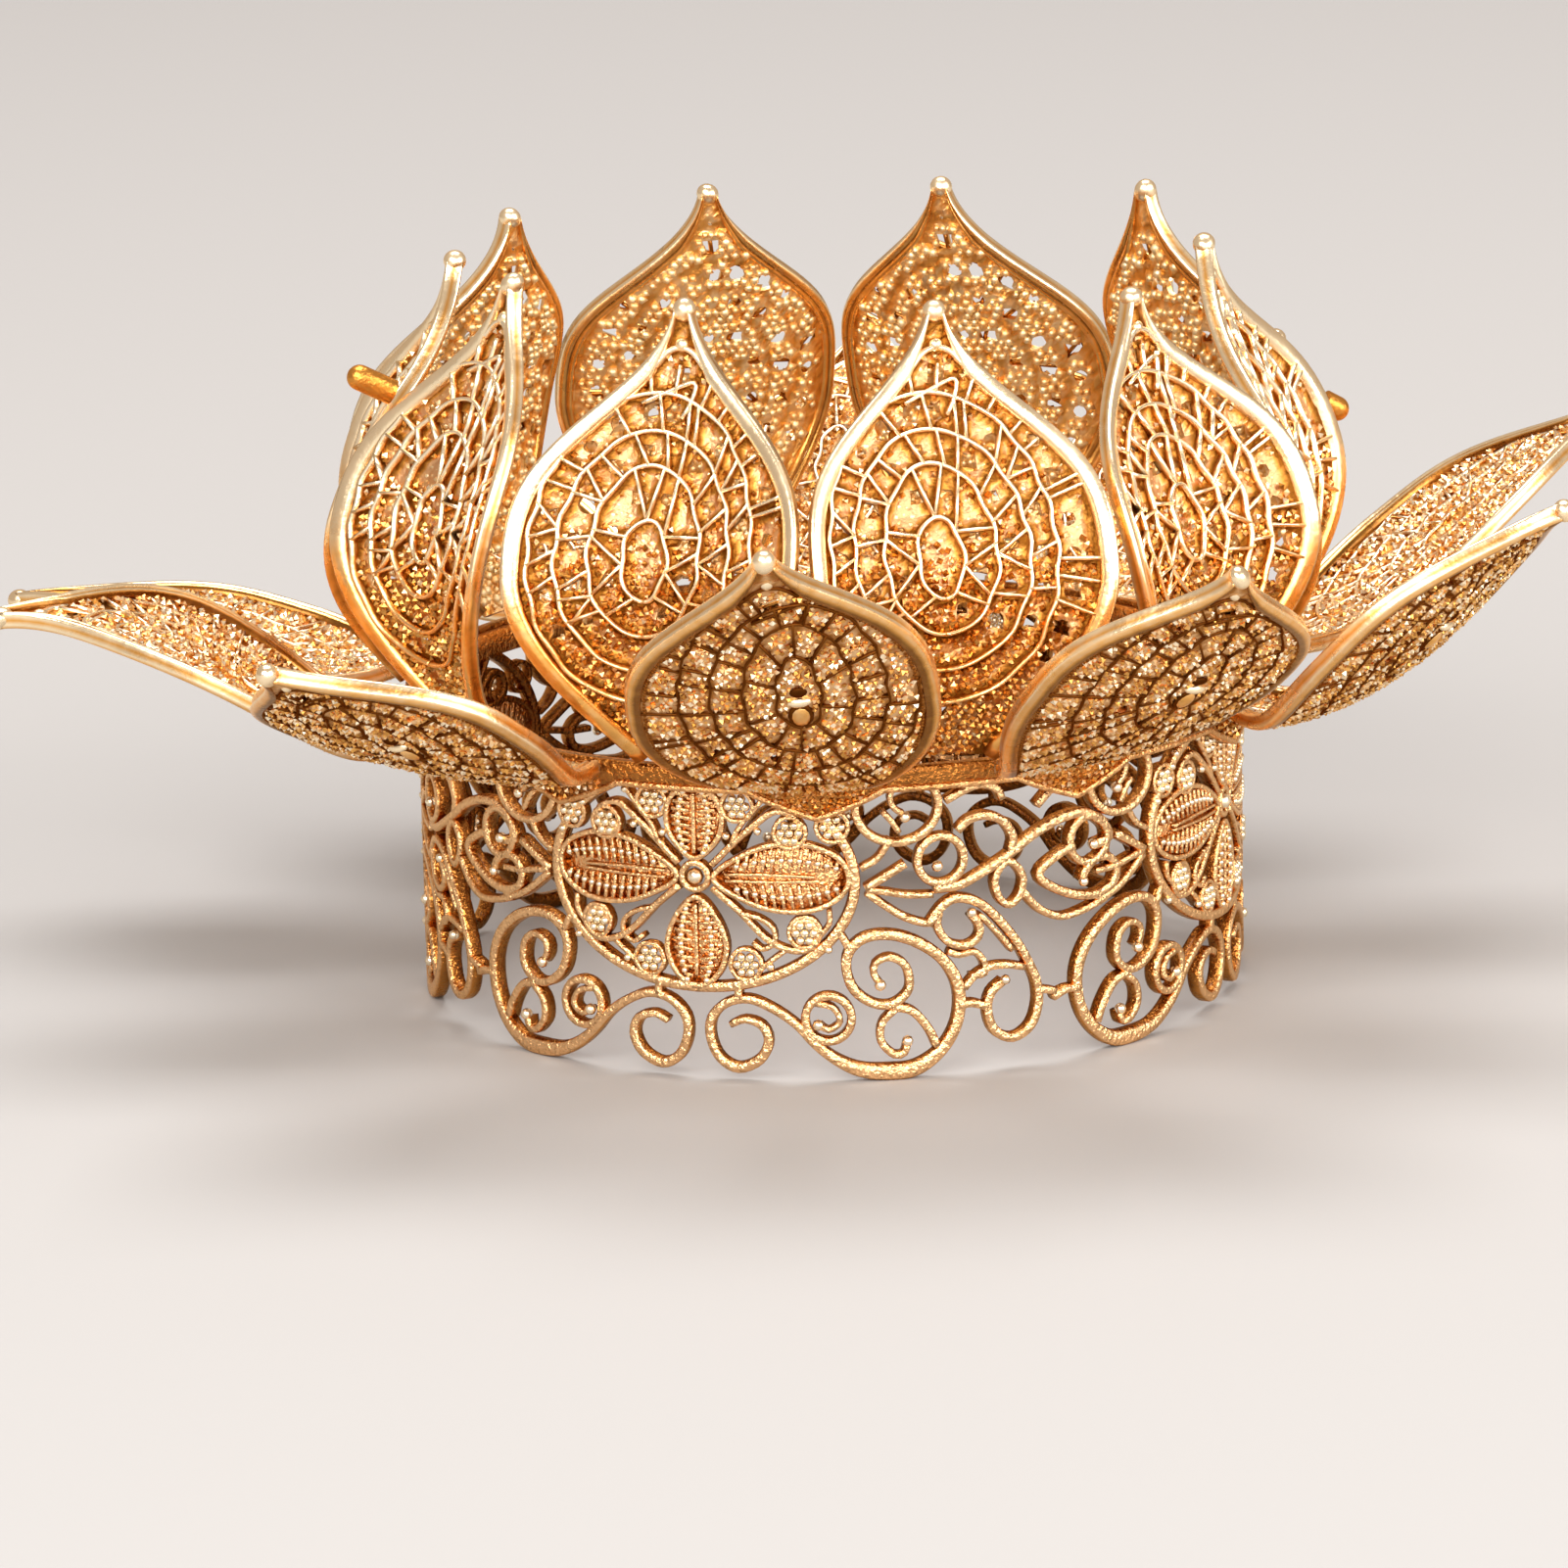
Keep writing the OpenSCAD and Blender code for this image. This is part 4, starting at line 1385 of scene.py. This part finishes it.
@dataclass(frozen=True)
class Finishes:
    """The finishes of all pieces."""

    # Each: name, colours of painted shade in hollows, body and painted highlights on edges, limits of
    # roughness, grain, bump and coat
    rim: Gold = Gold(
        "bright_rim", (0.28, 0.11, 0.016), (0.90, 0.46, 0.115), (1.0, 0.81, 0.53),
        (0.20, 0.36), 1500, 0.22, 0.3,
    )
    wire: Gold = Gold(
        "bright_wire", (0.34, 0.13, 0.016), (0.90, 0.46, 0.11), (1.0, 0.86, 0.62),
        (0.20, 0.36), 2500, 0.20, 0.3,
    )
    web: Gold = Gold(
        "deep_web", (0.19, 0.066, 0.008), (0.58, 0.25, 0.048), (0.73, 0.41, 0.20),
        (0.34, 0.56), 2600, 0.55, 0.0,
    )
    bed: Gold = Gold(
        "grain_bed", (0.34, 0.12, 0.016), (0.84, 0.42, 0.10), (1.0, 0.72, 0.38),
        (0.28, 0.48), 2200, 0.40, 0.1,
    )
    # Pale colours throughout paint a highlight over the soft beads.
    bead: Gold = Gold(
        "soft_bead", (0.80, 0.38, 0.08), (0.98, 0.62, 0.24), (1.0, 0.82, 0.50),
        (0.40, 0.58), 2500, 0.20, 0.2,
    )
    # Dark colours paint the shade and the dark reflection on the outer petals' underside.
    back: Gold = Gold(
        "brown_web", (0.10, 0.034, 0.006), (0.46, 0.185, 0.040), (0.96, 0.62, 0.32),
        (0.20, 0.38), 2200, 0.45, 0.1,
    )
    satin: Gold = Gold(
        "satin_gold", (0.17, 0.052, 0.007), (0.56, 0.225, 0.048), (0.91, 0.55, 0.265),
        (0.16, 0.34), 3200, 1.0, 0.1,
    )
    peg: Gold = Gold(
        "peg_gold", (0.66, 0.28, 0.05), (0.85, 0.42, 0.10), (1.0, 0.70, 0.34),
        (0.22, 0.38), 2000, 0.50, 0.1,
    )
    # Its dark colours are painted shade, for the grooves, the milgrain and the eye's hollow.
    groove: Gold = Gold(
        "dark_groove", (0.10, 0.030, 0.005), (0.23, 0.075, 0.012), (0.42, 0.16, 0.035),
        (0.50, 0.70), 1800, 0.20, 0.0, (0.40, 0.20, 0.07),
    )

    def materials(self) -> dict[str, bpy.types.Material]:
        """Make every finish's material, by the finish's field name."""
        return {one.name: getattr(self, one.name).material() for one in fields(self)}


# Stage


@dataclass
class Stage:
    """Floor, lights and camera."""

    pale: Colour = (0.43, 0.428, 0.426)
    floor_half: float = 6.0
    eye: tuple[float, float, float] = (22.83, -629.72, 170.37)
    down: float = 13.947
    turn: float = 2.382
    tilt: float = -1.265
    lens: float = 210.2
    # The lights' aim, in metres
    aim: tuple[float, float, float] = (0, 0, 0.03)
    # Rows: name, place and size in metres, power and colour. A broad key above the front, one behind the
    # camera, a fill and a back light.
    panels: tuple[tuple[str, Row, Row, float, Colour], ...] = (
        ("key_panel", (-0.35, -0.85, 0.60), (0.9, 0.55), 8.5, (1.0, 0.98, 0.95)),
        ("front_panel", (0.10, -1.30, 0.42), (1.1, 0.6), 10.5, (1.0, 0.98, 0.95)),
        ("fill_panel", (0.9, -0.50, 0.40), (0.9, 0.7), 9.5, (1.0, 0.97, 0.94)),
        ("top_panel", (0.0, 0.25, 1.0), (0.8, 0.5), 8.5, (1.0, 0.98, 0.97)),
    )

    def stand(self, data: bpy.types.ID, place: Array, axes: list[Array]) -> bpy.types.Object:
        """Put a light or a camera in the scene.

        Args:
            data: the light or the camera.
            place: its place in metres.
            axes: unit directions of its right side, of its upper side, and away from what it looks at.

        Returns:
            The new object.
        """
        thing = bpy.data.objects.new(data.name, data)
        bpy.context.scene.collection.objects.link(thing)
        whole = np.eye(4)
        whole[:3] = np.stack([*axes, place], 1)
        thing.matrix_world = Matrix(whole.tolist())
        return thing

    def floor(self) -> None:
        """A wide plain floor under the crown."""
        mesh = bpy.data.meshes.new("floor")
        r = self.floor_half
        mesh.from_pydata([(-r, -r, 0), (r, -r, 0), (r, r, 0), (-r, r, 0)], [], [(0, 1, 2, 3)])
        made = bpy.data.materials.new("floor_pale")
        made.use_nodes = True
        shader = made.node_tree.nodes["Principled BSDF"]
        shader.inputs["Base Color"].default_value = (*self.pale, 1)
        shader.inputs["Roughness"].default_value = 0.7
        mesh.materials.append(made)
        floor = bpy.data.objects.new("floor", mesh)
        bpy.context.scene.collection.objects.link(floor)

    def lights(self) -> None:
        """Soft panels turned to the crown, in a warm, even room."""
        for name, place, size, power, colour in self.panels:
            lamp = bpy.data.lights.new(name, "AREA")
            lamp.shape = "RECTANGLE"
            lamp.size, lamp.size_y = size
            lamp.energy = power
            lamp.color = colour
            away = np.array(place) - np.array(self.aim)
            away /= np.linalg.norm(away)
            side = np.cross([0, 0, 1.0], away)
            side /= np.linalg.norm(side)
            self.stand(lamp, np.array(place), [side, np.cross(away, side), away])
        world = bpy.data.worlds.new("soft_room")
        bpy.context.scene.world = world
        world.use_nodes = True
        sky = world.node_tree.nodes["Background"]
        sky.inputs["Color"].default_value = (0.90, 0.77, 0.68, 1)
        sky.inputs["Strength"].default_value = 0.60
        bpy.context.scene.view_settings.view_transform = "Standard"

    def camera(self) -> None:
        """Camera of the photograph: looking down by the tilt angle, with a slight roll."""
        shot = bpy.data.cameras.new("photo_camera")
        shot.sensor_fit = "HORIZONTAL"
        shot.sensor_width = 36.0
        shot.lens = self.lens
        shot.clip_start = 0.01
        e, t, q = self.down * DEG, self.turn * DEG, self.tilt * DEG
        right = np.array([math.cos(t), math.sin(t), 0.0])
        ahead = np.array([-math.cos(e) * math.sin(t), math.cos(e) * math.cos(t), -math.sin(e)])
        up = np.cross(right, ahead)
        side = right * math.cos(q) + up * math.sin(q)
        above = -right * math.sin(q) + up * math.cos(q)
        bpy.context.scene.camera = self.stand(shot, np.array(self.eye) * MM, [side, above, -ahead])


def main() -> None:
    """Build the crown piece by piece."""
    logging.basicConfig(level=logging.INFO, format="%(message)s")
    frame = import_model()
    stage = Stage()
    stage.camera()
    stage.floor()
    stage.lights()
    gilt = Finishes().materials()
    petals = Petals()
    for ring, slot, names in (
        (petals.inner(), "inner_gold", ("rim", "wire", "web", "groove", "bed", "bead")),
        (petals.outer(), "outer_gold", ("rim", "wire", "bed", "groove", "back", "bead")),
    ):
        flat = ring[0].family.flat_petal()
        for petal in ring:
            petal.build(flat, [gilt[name] for name in names], slot)
    for part in (Band(), Collar()):
        part.build([gilt[name] for name in ("satin", "wire", "web")])
    for name in ("side_peg_left", "side_peg_right"):
        node = frame["nodes"][name]
        node.data.materials.clear()
        node.data.materials.append(gilt["peg"])
        LOG.info("%s: %s", name, gilt["peg"].name)
    LOG.info("boxes written")


if __name__ == "__main__":
    main()
